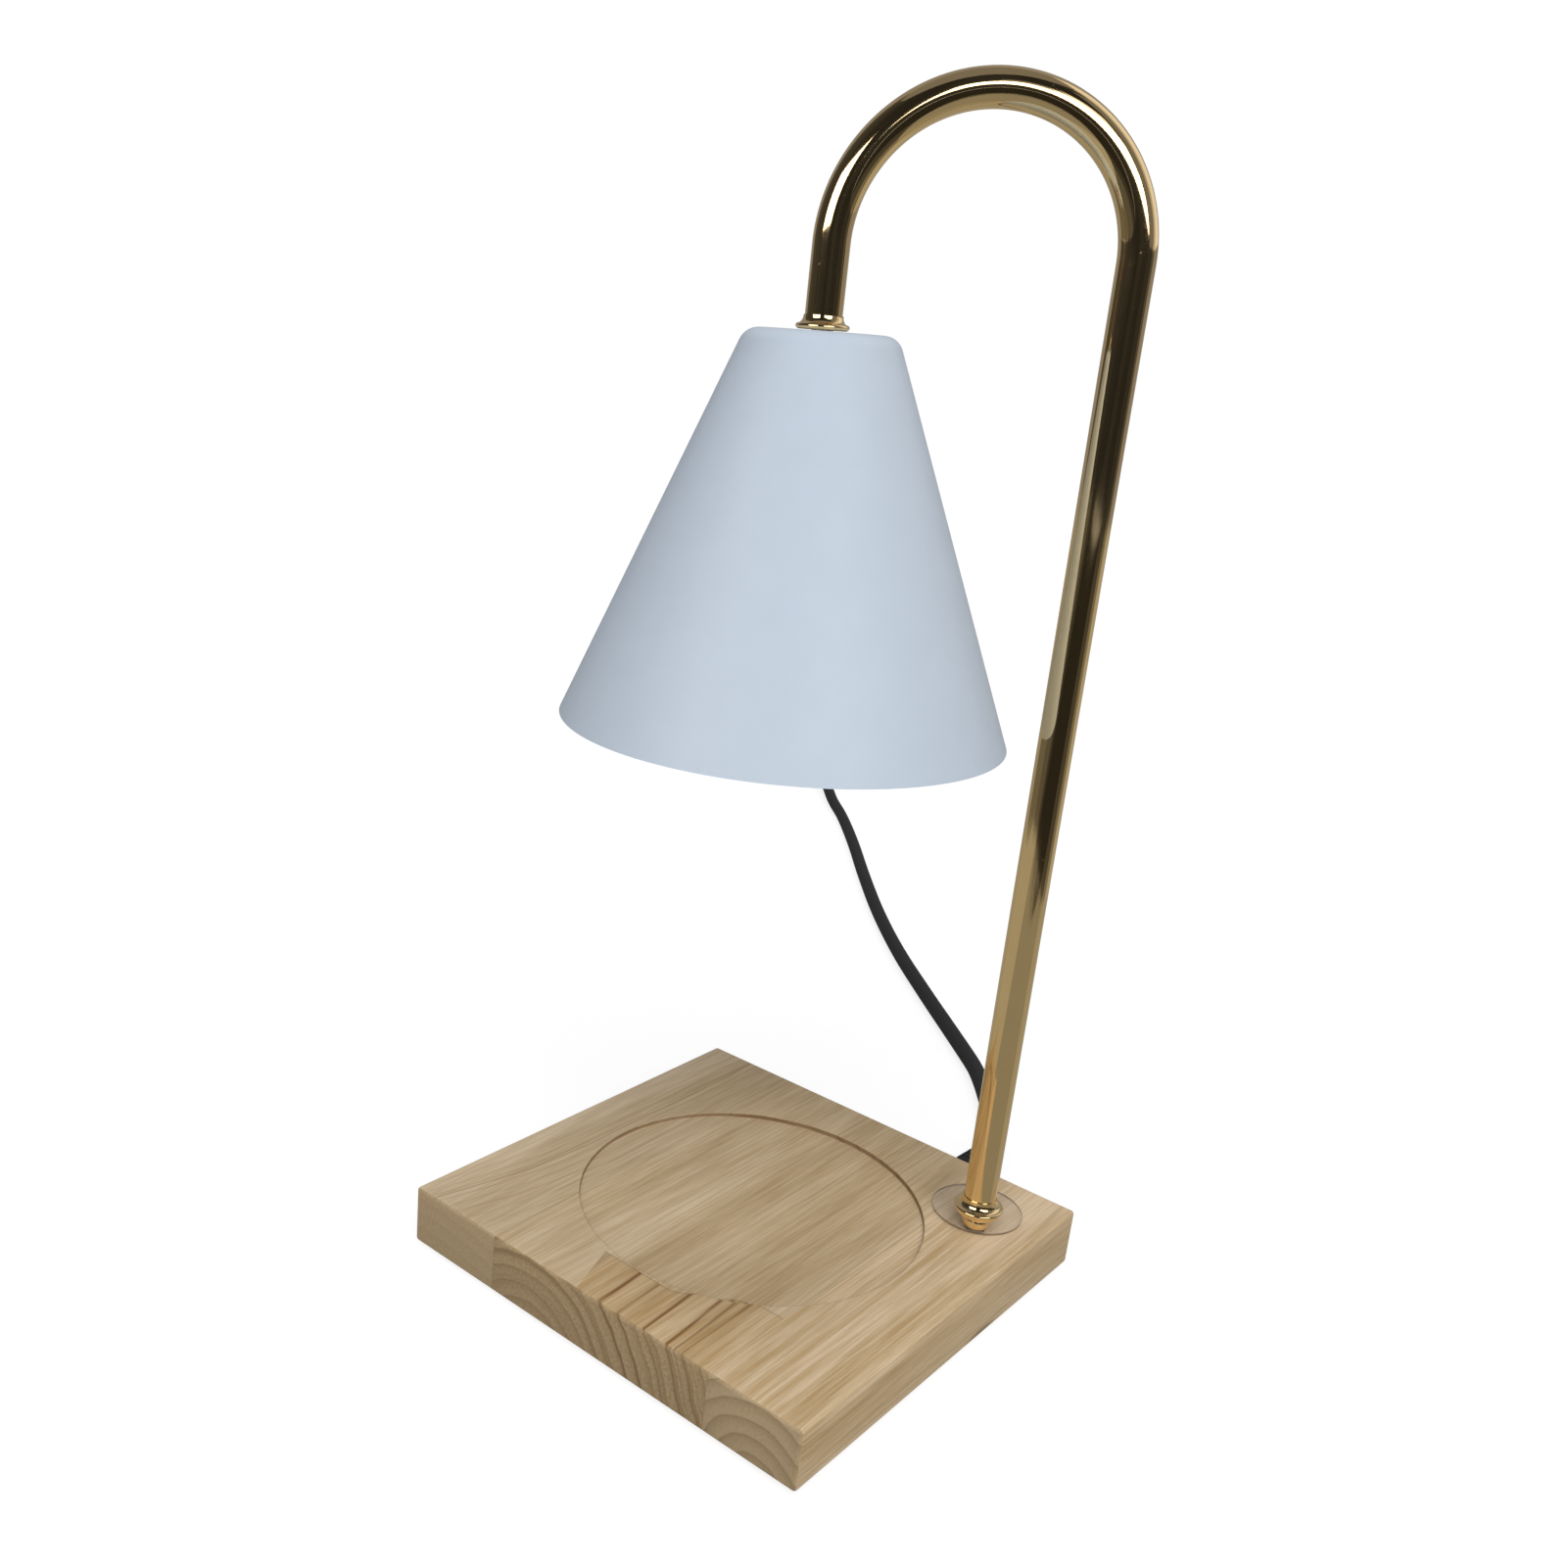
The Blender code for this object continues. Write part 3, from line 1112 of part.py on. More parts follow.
def coil_end():
    """Where the coil ends, and the way it runs there."""
    end = coil_point(COIL_TURNS)
    angle = COIL_START_ANGLE - math.tau * COIL_TURNS
    return end, Vector((math.sin(angle), -math.cos(angle), 0))


def build_cord():
    step = CORD_STEP_DIAMETERS * 2 * CORD_RADIUS
    sleeve_tip = SWITCH_PLACE - (SLEEVE_REACH + GAP) * SWITCH_DIRECTION
    sleeve_tip.z = CASE_AXIS_HEIGHT
    start = Vector((EXIT_X, CORD_START, EXIT_HEIGHT))
    lead = free_cord(start, Vector((0, 1, 0)), LEAD_ROUTE, sleeve_tip, SWITCH_DIRECTION, step)
    part(tube("cord_lead", lead, CORD_RADIUS), BLACK_PLASTIC)

    diameter = 2 * CORD_RADIUS
    leave = SWITCH_PLACE + (SLEEVE_REACH + GAP) * SWITCH_DIRECTION
    count = round(COIL_TURNS * COIL_POINTS_PER_TURN)
    start = coil_point(0)
    loops = [coil_point(COIL_TURNS * index / count) for index in range(count + 1)]
    end, heading = coil_end()
    straight_in = start - diameter * SWITCH_DIRECTION
    straight_out = end + diameter * heading
    points = [straight_in, *loops, straight_out]
    fine = [coil_point(COIL_TURNS * index / (8 * count)) for index in range(8 * count + 1)]
    print(f"cord_coil: least gap to itself {1000 * least_gap(fine, 4 * COIL_POINTS_PER_TURN):.2f} mm")
    part(tube("cord_coil", points, CORD_RADIUS, resolution=1), BLACK_PLASTIC)

    leave.z = CASE_AXIS_HEIGHT
    link_end = straight_in - GAP * SWITCH_DIRECTION
    link = free_cord(leave, SWITCH_DIRECTION, [], link_end, SWITCH_DIRECTION, step / 2)
    part(tube("cord_link", link, CORD_RADIUS), BLACK_PLASTIC)

    tail_start = straight_out + GAP * heading
    tail_end = tail_start + TAIL_LENGTH * heading
    tail_end.z = PLUG_AXIS_HEIGHT
    tail = free_cord(tail_start, heading, [], tail_end, heading, step / 2)
    part(tube("cord_tail", tail, CORD_RADIUS), BLACK_PLASTIC)
    build_tie()
    build_plug(tail_end + GAP * heading, heading)


def build_tie():
    """A flat band closed round all the turns at one place."""
    place = place_for("tie_place", COIL_CENTRE, TIE_ANGLE)
    inner_low = Vector((COIL_OUTER_RADIUS - COIL_SPAN - CORD_RADIUS - GAP, -TIE_WIDTH,
                        COIL_LOW_HEIGHT - CORD_RADIUS - GAP / 2))
    inner_high = Vector((COIL_OUTER_RADIUS + CORD_RADIUS + GAP, TIE_WIDTH,
                         COIL_HIGH_HEIGHT + CORD_RADIUS + GAP))
    outer_low = Vector((inner_low.x - TIE_THICKNESS, -TIE_WIDTH / 2, inner_low.z - TIE_THICKNESS))
    outer_high = Vector((inner_high.x + TIE_THICKNESS, TIE_WIDTH / 2, inner_high.z + TIE_THICKNESS))
    band = box("cord_tie", outer_low, outer_high)
    boolean(band, cutter(box("tie_space", inner_low, inner_high), place))
    part(band, BLACK_RUBBER, place)


def build_plug(tip, heading):
    place = place_for("plug_place", Vector((tip.x, tip.y, PLUG_AXIS_HEIGHT)),
                      math.atan2(heading.y, heading.x))
    sleeve = turned("plug_sleeve", [
        (0, 0),
        (SLEEVE_ROOT_RADIUS, 0),
        (SLEEVE_TIP_RADIUS, -SLEEVE_LENGTH),
        (0, -SLEEVE_LENGTH),
    ], False, sides=SMALL_SIDES)
    sleeve.rotation_euler = (0, math.radians(90), 0)
    sleeve.location = (SLEEVE_LENGTH, 0, 0)
    part(sleeve, BLACK_RUBBER, place)
    back = SLEEVE_LENGTH + GAP
    front = back + PLUG_LENGTH
    body = box("plug_body", (back, -PLUG_WIDTH / 2, -PLUG_HEIGHT / 2), (front, PLUG_WIDTH / 2, PLUG_HEIGHT / 2))
    for vertex in body.data.vertices:
        if vertex.co.x < (back + front) / 2:
            vertex.co.y *= PLUG_GRIP_SHARE
    round_edges(body, PLUG_CORNER, 3)
    for index, side in enumerate((-1, 1), 1):
        middle = side * BLADE_SPACING / 2
        socket = box(f"blade_socket_{index}",
                     (front - BLADE_ROOT - GAP, middle - BLADE_THICKNESS / 2 - GAP, -BLADE_WIDTH / 2 - GAP),
                     (front + OVERRUN, middle + BLADE_THICKNESS / 2 + GAP, BLADE_WIDTH / 2 + GAP))
        boolean(body, cutter(socket, place))
        blade = box(f"plug_blade_{index}",
                    (front - BLADE_ROOT, middle - BLADE_THICKNESS / 2, -BLADE_WIDTH / 2),
                    (front + BLADE_LENGTH, middle + BLADE_THICKNESS / 2, BLADE_WIDTH / 2))
        part(blade, BRASS, place)
    part(body, BLACK_PLASTIC, place)


def main():
    build_board()
    build_pole()
    build_wires()
    build_shade()
    build_holder()
    build_bulb()
    build_switch()
    build_cord()


main()
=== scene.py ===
"""Candle warmer lamp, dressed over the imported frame.

A square wooden base with a round seat, a gold tube arched to a white cone shade over a halogen bulb,
and a black mains cord with an inline roller dimmer. Sizes are in metres, in the frame of the CAD model.
"""

import json
import logging
import math
from dataclasses import dataclass
from enum import Enum
from functools import reduce
from itertools import accumulate
from typing import Callable, Sequence, Union

import bmesh
import bpy
from mathutils import Matrix, Vector


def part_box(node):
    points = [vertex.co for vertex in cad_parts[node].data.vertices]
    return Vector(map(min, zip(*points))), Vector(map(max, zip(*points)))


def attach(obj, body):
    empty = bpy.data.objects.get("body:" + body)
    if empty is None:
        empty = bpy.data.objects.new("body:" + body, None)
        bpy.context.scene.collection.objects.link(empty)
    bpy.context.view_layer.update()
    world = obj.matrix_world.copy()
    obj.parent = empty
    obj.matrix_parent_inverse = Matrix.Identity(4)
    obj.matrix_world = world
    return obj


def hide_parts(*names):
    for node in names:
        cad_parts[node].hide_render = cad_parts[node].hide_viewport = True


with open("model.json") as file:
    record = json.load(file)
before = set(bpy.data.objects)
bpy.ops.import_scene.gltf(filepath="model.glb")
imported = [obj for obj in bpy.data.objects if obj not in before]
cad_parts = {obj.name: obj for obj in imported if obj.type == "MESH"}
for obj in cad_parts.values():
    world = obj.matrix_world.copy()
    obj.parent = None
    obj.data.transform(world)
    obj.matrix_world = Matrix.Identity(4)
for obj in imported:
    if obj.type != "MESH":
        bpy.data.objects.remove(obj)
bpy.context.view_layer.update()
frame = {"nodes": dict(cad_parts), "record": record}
LOG = logging.getLogger("candle_warmer_lamp")
MM = 0.001
ON_AXIS = 1e-9
GAP = 0.3 * MM
NIPPLE_HOLE = 2.9 * MM
SCREW_HOLE = 1.4 * MM
AXLE_HOLE = 1.5 * MM
Piece = bpy.types.Object
Point2 = tuple[float, float]
Colour = tuple[float, float, float]


class Body(str, Enum):
    """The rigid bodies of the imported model."""

    LAMP = "lamp"
    BULB = "bulb"
    WHEEL = "wheel"


# Shader recipes


def operator(operation: str, swapped: bool = False) -> Callable[..., "Signal"]:
    """A method that adds a Math node; swapped puts the signal last, for a plain number on its left."""

    def method(self: "Signal", *others: "Value") -> "Signal":
        """Adds the node."""
        values = (*others, self) if swapped else (self, *others)
        return self.recipe.node("ShaderNodeMath", {"operation": operation}, dict(enumerate(values)))

    return method


class Signal:
    """One value in a node tree, with Python's operators for its maths."""

    __add__, __radd__ = operator("ADD"), operator("ADD", True)
    __sub__, __rsub__ = operator("SUBTRACT"), operator("SUBTRACT", True)
    __mul__, __rmul__ = operator("MULTIPLY"), operator("MULTIPLY", True)
    __truediv__, __pow__ = operator("DIVIDE"), operator("POWER")
    __gt__, __lt__ = operator("GREATER_THAN"), operator("LESS_THAN")
    __abs__, fraction = operator("ABSOLUTE"), operator("FRACT")
    at_least, at_most = operator("MAXIMUM"), operator("MINIMUM")
    pingpong = operator("PINGPONG")

    def __init__(self, recipe: "Recipe", socket: bpy.types.NodeSocket) -> None:
        """Keeps the socket and the recipe it belongs to."""
        self.recipe = recipe
        self.socket = socket

    def clamped(self) -> "Signal":
        """Stays between nought and one."""
        return self.at_most(1.0).at_least(0.0)

    def past(self, start: float, gain: float) -> "Signal":
        """How far it is past a value, times a gain, between nought and one."""
        return ((self - start) * gain).clamped()

    def spread(self, low: float, high: float) -> "Signal":
        """From nought to one, spread between two values."""
        return self * (high - low) + low

    def zigzag(self, period: float) -> "Signal":
        """A triangle wave of this period, from nought to one."""
        return self.pingpong(period / 2) * (2 / period)


Value = Union[Signal, float]


class Recipe:
    """A node tree being written."""

    def __init__(self, tree: bpy.types.NodeTree) -> None:
        """Takes the tree."""
        self.tree = tree

    def node(self, kind: str, settings: dict, inputs: dict, output: Union[int, str] = 0) -> Signal:
        """Adds a node.

        Args:
            kind: The node's type.
            settings: Its own settings.
            inputs: The values or links of its sockets, by index or name.
            output: The output to hand back.

        Returns:
            That output as a signal.
        """
        made = self.tree.nodes.new(kind)
        for name, value in settings.items():
            setattr(made, name, value)
        for key, value in inputs.items():
            self.feed(made.inputs[key], value)
        return Signal(self, made.outputs[output])

    def feed(self, socket: bpy.types.NodeSocket, value: "Value | Sequence[float]") -> None:
        """Links a signal to a socket, or sets the socket's own value."""
        if isinstance(value, Signal):
            self.tree.links.new(value.socket, socket)
        elif hasattr(value, "__len__") and len(value) == 3 and socket.type == "RGBA":
            socket.default_value = (*value, 1.0)
        else:
            socket.default_value = value

    def place(self, across: float = 1.0, along: float = 1.0) -> Signal:
        """The point on the object in millimetres, scaled across the Y axis and along it."""
        point = self.node("ShaderNodeTexCoord", {}, {}, "Object")
        scale = (across / MM, along / MM, across / MM)
        return self.node("ShaderNodeVectorMath", {"operation": "MULTIPLY"}, {0: point, 1: scale})

    def normal(self, axis: str) -> Signal:
        """How far the surface faces along an axis, either way."""
        facing = self.node("ShaderNodeTexCoord", {}, {}, "Normal")
        return abs(self.axis(facing, axis))

    def axis(self, vector: Signal, axis: str) -> Signal:
        """A vector's X, Y or Z."""
        return self.node("ShaderNodeSeparateXYZ", {}, {0: vector}, axis)

    def noise(self, where: Signal, scale: float = 1.0, detail: float = 3.0, roughness: float = 0.5) -> Signal:
        """Cloudy noise about 0.5, with this many clouds to a unit of where."""
        sockets = {"Vector": where, "Scale": scale, "Detail": detail, "Roughness": roughness}
        return self.node("ShaderNodeTexNoise", {}, sockets)

    def cells(self, where: Signal, scale: float) -> Signal:
        """The distance to the nearest of scattered points."""
        return self.node("ShaderNodeTexVoronoi", {}, {"Vector": where, "Scale": scale}, "Distance")

    def mix(self, factor: "Value", first: "Signal | Colour", second: "Signal | Colour") -> Signal:
        """Mixes two colours by a factor."""
        return self.node("ShaderNodeMix", {"data_type": "RGBA"}, {0: factor, 6: first, 7: second}, 2)

    def ramp(self, signal: Signal, stops: Sequence[tuple[float, Colour]]) -> Signal:
        """A colour for each value of a signal, by positions and colours."""
        colours = self.node("ShaderNodeValToRGB", {}, {0: signal})
        elements = colours.socket.node.color_ramp.elements
        while len(elements) < len(stops):
            elements.new(1.0)
        for element, (position, colour) in zip(elements, stops):
            element.position = position
            element.color = (*colour, 1.0)
        return colours

    def profile(self, signal: Signal, low: float, high: float, marks: Sequence[Colour]) -> Signal:
        """Peaks along a signal, with nought between them.

        Args:
            signal: What the peaks lie along.
            low: The signal's value where the profile starts.
            high: Its value where the profile ends.
            marks: Each peak's place, half width and height, in rising order and clear of each other.

        Returns:
            The profile's height.
        """
        stops = [(0.0, (0.0, 0.0, 0.0))]
        for place, half, height in marks:
            for point, level in ((place - half, 0.0), (place, height), (place + half, 0.0)):
                stops.append(((point - low) / (high - low), (level, level, level)))
        return self.ramp((signal - low) / (high - low), stops)

    def bump(self, height: Signal, depth: float, strength: float) -> Signal:
        """A normal from a height; depth is the height's unit in metres."""
        return self.node("ShaderNodeBump", {}, {"Height": height, "Distance": depth, "Strength": strength})

    def rays(self, *kinds: str) -> Signal:
        """One for rays of these kinds, and nought for others."""
        found = [self.node("ShaderNodeLightPath", {}, {}, f"Is {kind} Ray") for kind in kinds]
        return reduce(Signal.at_least, found)

    def principled(self, **sockets: "Value | Sequence[float]") -> None:
        """Feeds the Principled shader's sockets, named in lower case with underscores."""
        shader = self.tree.nodes["Principled BSDF"]
        for name, value in sockets.items():
            self.feed(shader.inputs[name.replace("_", " ").title().replace("Ior", "IOR")], value)

    def surface(self, shader: Signal) -> None:
        """Puts another shader in the place of the Principled one."""
        self.tree.nodes.remove(self.tree.nodes["Principled BSDF"])
        self.feed(self.tree.nodes["Material Output"].inputs["Surface"], shader)


def new_material(name: str) -> tuple[bpy.types.Material, Recipe]:
    """An empty material of this name, and the recipe that writes it."""
    material = bpy.data.materials.new(name)
    material.use_nodes = True
    return material, Recipe(material.node_tree)


@dataclass(frozen=True)
class Finish:
    """A finish with a base colour, a roughness, soft mottling and a fine grain, for one slot of the record."""

    name: str
    slot: str
    colour: Colour
    roughness: float = 0.5
    metallic: float = 0.0
    mottle: float = 0.06
    grain_size: float = 1.2
    grain_depth: float = 0.01
    grain_strength: float = 1.0

    def material(self) -> bpy.types.Material:
        """The finish's material, made once."""
        made = bpy.data.materials.get(self.name)
        if made is None:
            made, recipe = new_material(self.name)
            self.write(recipe)
        return made

    def write(self, recipe: Recipe) -> None:
        """Writes the material: its look, mottled colour unless the look has its own, and the grain's bump."""
        where = recipe.place()
        look = self.look(recipe, where)
        if "base_color" not in look:
            dark = tuple(value * (1 - self.mottle) for value in self.colour)
            light = tuple(min(1.0, value * (1 + self.mottle)) for value in self.colour)
            look["base_color"] = recipe.mix(recipe.noise(where, 0.12, 2.0), dark, light)
        normal = recipe.bump(look.pop("relief"), self.grain_depth * MM, self.grain_strength)
        recipe.principled(metallic=self.metallic, normal=normal, **look)

    def look(self, recipe: Recipe, where: Signal) -> dict:
        """What feeds the shader.

        Args:
            recipe: The material's recipe.
            where: The point on the object in millimetres.

        Returns:
            The shader's sockets by name, with the bump's height as relief.
        """
        return {
            "roughness": recipe.noise(where, 0.3, 3.0).spread(self.roughness * 0.85, self.roughness * 1.15),
            "relief": recipe.noise(where, 1 / self.grain_size, 4.0, 0.6),
        }


@dataclass(frozen=True)
class BoardWood(Finish):
    """Pale edge-glued wood: three staves along Y with their growth rings, and a finger joint near the front."""

    stave_edges: Point2 = (-36.5, 41.0)
    ring_middles: tuple[Point2, Point2, Point2] = ((-60.0, -80.0), (-22.0, -13.0), (58.5, -4.0))
    ring_gap: float = 4.6
    seat_radius: float = 51.2
    # The heights between which shade is painted on the seat's wall
    seat_wall: Point2 = (18.15, 19.35)

    def look(self, recipe: Recipe, where: Signal) -> dict:
        """The wood, in millimetres of the board."""

        def grain(across: float, along: float, scale: float, detail: float = 2.0, rough: float = 0.5) -> Signal:
            """Noise drawn out along the staves."""
            return recipe.noise(recipe.place(across, along), scale, detail, rough)

        x, y, z = (recipe.axis(where, axis) for axis in "XYZ")
        left, right = x < self.stave_edges[0], x > self.stave_edges[1]
        centre = 1.0 - left - right
        (left_x, left_z), (centre_x, centre_z), (right_x, right_z) = self.ring_middles
        slow, drift = grain(1.0, 0.16, 0.045) - 0.5, grain(1.0, 0.1, 0.16) - 0.5
        across = x + (y + 70.0) * 0.05 + slow * 4.0 - (left * left_x + centre * centre_x + right * right_x)
        up = z + slow * 3.0 - (left * left_z + centre * centre_z + right * right_z)
        radius = (across * across + up * up) ** 0.5 + drift * 1.2
        # The staircase line where the short piece at the front meets the long one behind it
        rise = x.past(12.0, 1 / 18) * (z > 10.0)
        joint = rise * rise * (3.0 - rise * 2.0) * 13.0 - 52.0 + (x.zigzag(4.5) > 2.2) * 3.2
        beyond = x > y * -0.35 - 29.0
        short_piece = (y < joint) * centre * beyond
        joint_line = self.line(y - joint, 0.40) * centre * beyond
        # Dark late wood that shows as streaks on the short piece and as rings on its end
        rings = recipe.profile(radius, 20.0, 70.0, [
            (24.0, 1.4, 0.35), (31.3, 1.2, 0.50), (35.0, 0.9, 0.60), (40.7, 0.65, 1.0), (45.4, 0.65, 0.90),
            (52.9, 0.65, 1.0), (58.4, 0.6, 1.0), (60.8, 0.5, 0.70), (63.2, 0.55, 0.90), (65.6, 0.6, 0.50),
        ])
        streak = rings * short_piece * (grain(0.6, 0.07, 0.30, 3.0).past(0.40, 5.0) * 0.55 + 0.45)
        # Long soft lines on the left stave, which lean at the front
        along = y.past(-70.0, 1 / 60)
        leaning = x - along * (2.0 - along) * 9.0 + drift * 2.0
        left_lines = recipe.profile(leaning, -76.0, -40.0, [
            (-70.0, 0.8, 0.15), (-66.5, 0.6, 0.20), (-63.6, 0.5, 0.45), (-62.3, 0.6, 0.60), (-60.0, 0.5, 0.35),
            (-56.5, 0.6, 0.18), (-52.8, 0.7, 0.30), (-48.5, 0.8, 0.15), (-44.0, 0.8, 0.12),
        ]) * left
        # Honey-coloured bands on the right stave
        bands = recipe.profile(x + drift * 3.0 + slow * 5.0, 38.0, 72.0, [
            (42.3, 1.3, 0.55), (44.9, 0.8, 0.25), (47.5, 1.5, 0.80), (50.2, 0.7, 0.30), (52.8, 1.4, 0.90),
            (55.4, 0.8, 0.35), (57.9, 1.3, 0.60), (61.2, 0.9, 0.25), (64.4, 1.4, 0.55), (67.4, 1.0, 0.30),
        ]) * right * (1.0 - y.past(-30.0, 1 / 90) * 0.55)
        fibres, broad = grain(1.5, 0.045, 0.9, 5.0, 0.65), grain(0.5, 0.04, 0.16)
        hairs, pores = grain(3.2, 0.035, 0.8, 3.0, 0.6).past(0.54, 7.0), grain(4.0, 0.22, 1.0).past(0.66, 6.0)
        tone = 0.5 + (fibres - 0.5) * 0.9 + (broad - 0.5) * 0.8 - centre * 0.03 + right * 0.05
        ground = recipe.ramp(tone, [
            (0.22, (0.450, 0.295, 0.130)), (0.48, (0.650, 0.478, 0.275)), (0.72, (0.850, 0.665, 0.450)),
        ])
        ground = recipe.mix(left * 0.30 + centre * (1.0 - short_piece) * 0.18, ground, (0.560, 0.475, 0.345))
        soft = (radius / self.ring_gap).fraction() ** 2.2
        patches = grain(0.5, 0.06, 0.22, 3.0).past(0.36, 3.6)
        warmth = bands * (patches * 0.75 + 0.15) + hairs * 0.34 + short_piece * (soft * 0.50 * patches + 0.10)
        honeyed = recipe.mix(warmth.clamped(), ground, (0.490, 0.290, 0.100))
        marked = recipe.mix((streak * 1.15 + left_lines * 0.8).clamped(), honeyed, (0.235, 0.108, 0.030))
        porous = recipe.mix(pores * 0.34, marked, (0.30, 0.17, 0.07))
        # End grain drinks more lacquer, and shows its rings as soft arcs
        end = recipe.normal("Y").past(0.35, 3.0)
        darkening = soft * (0.12 + centre * 0.34 + right * 0.36) + rings * centre * 0.55
        mottle = grain(1.2, 1.0, 0.9, 4.0, 0.65).past(0.25, 2.0)
        paler = recipe.mix(mottle, (0.330, 0.212, 0.098), (0.530, 0.395, 0.225))
        paler = recipe.mix(right * 0.45 + left * 0.35, paler, (0.540, 0.415, 0.255))
        end_grain = recipe.mix(darkening.clamped(), paler, (0.185, 0.105, 0.040))
        # The glue lines, painted shade on the turned wall of the seat, and a small knot low on the right side
        glue = self.line(x - self.stave_edges[0], 0.25) * 0.35 + self.line(x - self.stave_edges[1], 0.25) * 0.25
        # Painted shade: the seat's wall is darkened for the shade that falls inside the shallow recess
        turned = self.line((x * x + y * y) ** 0.5 - self.seat_radius, 0.6)
        turned = turned * (z > self.seat_wall[0]) * (z < self.seat_wall[1])
        knot = (1.0 - (((y - 18.0) / 9.0) ** 2.0 + ((z - 2.5) / 2.0) ** 2.0)).clamped() * (x > 69.0)
        dark = (glue + joint_line * 0.45 * (1.0 - end) + turned * 0.75 + knot * 0.7).clamped()
        return {
            "base_color": recipe.mix(dark, recipe.mix(end, porous, end_grain), (0.200, 0.115, 0.050)),
            "roughness": fibres.spread(self.roughness - 0.08, self.roughness + 0.12),
            "specular_ior_level": 0.35,
            "relief": fibres * 0.6 - pores * 0.5 - streak * 0.1,
        }

    @staticmethod
    def line(distance: Signal, half: float) -> Signal:
        """A thin line: one where the distance is nought, fading to nought at half its width."""
        return (1.0 - abs(distance) / half).clamped()


class GoldPlate(Finish):
    """Polished gold plating, nearly mirror-bright, with uneven haze and tiny specks."""

    def look(self, recipe: Recipe, where: Signal) -> dict:
        """Haze and specks, which are dull and a little sunk."""
        specks = (1.0 - recipe.cells(where, 0.22).past(0.0, 2.6)) ** 9.0
        haze = recipe.noise(where, 0.09, 3.0).spread(self.roughness * 0.7, self.roughness * 1.4)
        return {"roughness": haze + specks * 0.25, "relief": recipe.noise(where, 0.35, 2.0) - specks * 0.6}


class PowderCoat(Finish):
    """White powder coat: two sizes of fine orange peel over spun sheet."""

    def look(self, recipe: Recipe, where: Signal) -> dict:
        """Soft uneven gloss over the peel."""
        return {
            "roughness": recipe.noise(where, 0.05, 2.0).spread(self.roughness - 0.04, self.roughness + 0.06),
            "specular_ior_level": 0.4,
            "relief": recipe.noise(where, 0.9, 3.0, 0.55) + recipe.noise(where, 2.6, 2.0) * 0.35,
        }


class ClearDisc(Finish):
    """A thin clear plastic disc: see-through and faintly cloudy, with shade painted dark and nearly opaque on
    its rim.
    """

    def look(self, recipe: Recipe, where: Signal) -> dict:
        """The cloudy face, and the painted shade on the rim."""
        cloud = recipe.noise(where, 0.3, 3.0)
        # Painted shade: the rim is darkened and made nearly opaque, for the dark line that a clear edge shows
        rim = (1.0 - recipe.normal("Z")).past(0.0, 1.6)
        return {
            "base_color": recipe.mix(rim, self.colour, (0.19, 0.13, 0.08)),
            "roughness": cloud.spread(self.roughness * 0.8, self.roughness * 1.3),
            "alpha": (0.06 + cloud * 0.10 + rim * 0.62).clamped(),
            "relief": cloud,
        }


class ClearGlass(Finish):
    """Clear glass of the lens and the halogen capsule, with a faint waviness."""

    def look(self, recipe: Recipe, where: Signal) -> dict:
        """Clear and glossy, with a slow wave."""
        wave = recipe.noise(where, 0.4, 2.0)
        gloss = wave.spread(0.02, self.roughness * 2)
        return {"roughness": gloss, "transmission_weight": 0.95, "ior": 1.48, "relief": wave}


class FacetedMirror(Finish):
    """The coated inside of the bulb's reflector, pressed in small facets."""

    def look(self, recipe: Recipe, where: Signal) -> dict:
        """The coat's gloss over the facets."""
        gloss = recipe.noise(where, 0.3, 2.0).spread(self.roughness * 0.7, self.roughness * 1.3)
        return {"roughness": gloss, "relief": recipe.cells(where, 0.42)}


class CordJacket(Finish):
    """The round black jacket of the mains cord, satin and a little dusty, with the lay of its cores showing."""

    def look(self, recipe: Recipe, where: Signal) -> dict:
        """Dust over the black, and the lay as a soft relief."""
        lay = recipe.noise(where, 0.22, 2.0)
        dust = recipe.noise(where, 0.7, 5.0, 0.7).past(0.55, 3.0)
        return {
            "base_color": recipe.mix(dust * 0.35, self.colour, (0.055, 0.055, 0.06)),
            "roughness": lay.spread(self.roughness - 0.08, self.roughness + 0.10),
            "specular_ior_level": 0.45,
            "relief": lay + recipe.noise(where, 1.6, 3.0) * 0.3,
        }


class CircuitPlate(Finish):
    """A green circuit board, paler where copper tracks run under its mask."""

    def look(self, recipe: Recipe, where: Signal) -> dict:
        """The mask and its tracks."""
        tracks = ((recipe.axis(where, "X") + recipe.axis(where, "Y")).zigzag(3.1) > 0.72) * 0.6
        return {
            "base_color": recipe.mix(tracks, self.colour, (0.10, 0.34, 0.15)),
            "roughness": recipe.noise(where, 0.6, 3.0).spread(self.roughness * 0.8, self.roughness * 1.2),
            "relief": tracks,
        }


WOOD = BoardWood("board_wood", "wood", (0.62, 0.46, 0.27), 0.52, grain_depth=0.035)
GOLD = GoldPlate("gold_plate", "gold", (0.85, 0.645, 0.355), 0.07, 1.0, 0.04, grain_depth=0.001)
WHITE = PowderCoat("white_powder_coat", "white_coat", (0.620, 0.707, 0.817), 0.50, 0.0, 0.025, grain_depth=0.02)
CLEAR = ClearDisc("clear_disc", "clear_plastic", (0.66, 0.62, 0.54), 0.16, grain_depth=0.004)
JACKET = CordJacket("cord_jacket", "cord_jacket", (0.010, 0.010, 0.0125), 0.52, grain_depth=0.03)
RUBBER = Finish("black_rubber", "black_rubber", (0.022, 0.022, 0.024), 0.68, 0.0, 0.20, 0.5, 0.02)
MOULDING = Finish("black_moulding", "black_plastic", (0.030, 0.030, 0.033), 0.42, 0.0, 0.15, 0.35, 0.015)
ZINC = Finish("zinc_plate", "zinc_steel", (0.62, 0.62, 0.60), 0.32, 1.0, 0.08, 0.6, 0.006)
BRASS = Finish("bare_brass", "brass", (0.76, 0.58, 0.28), 0.28, 1.0, 0.08, 0.5, 0.005)
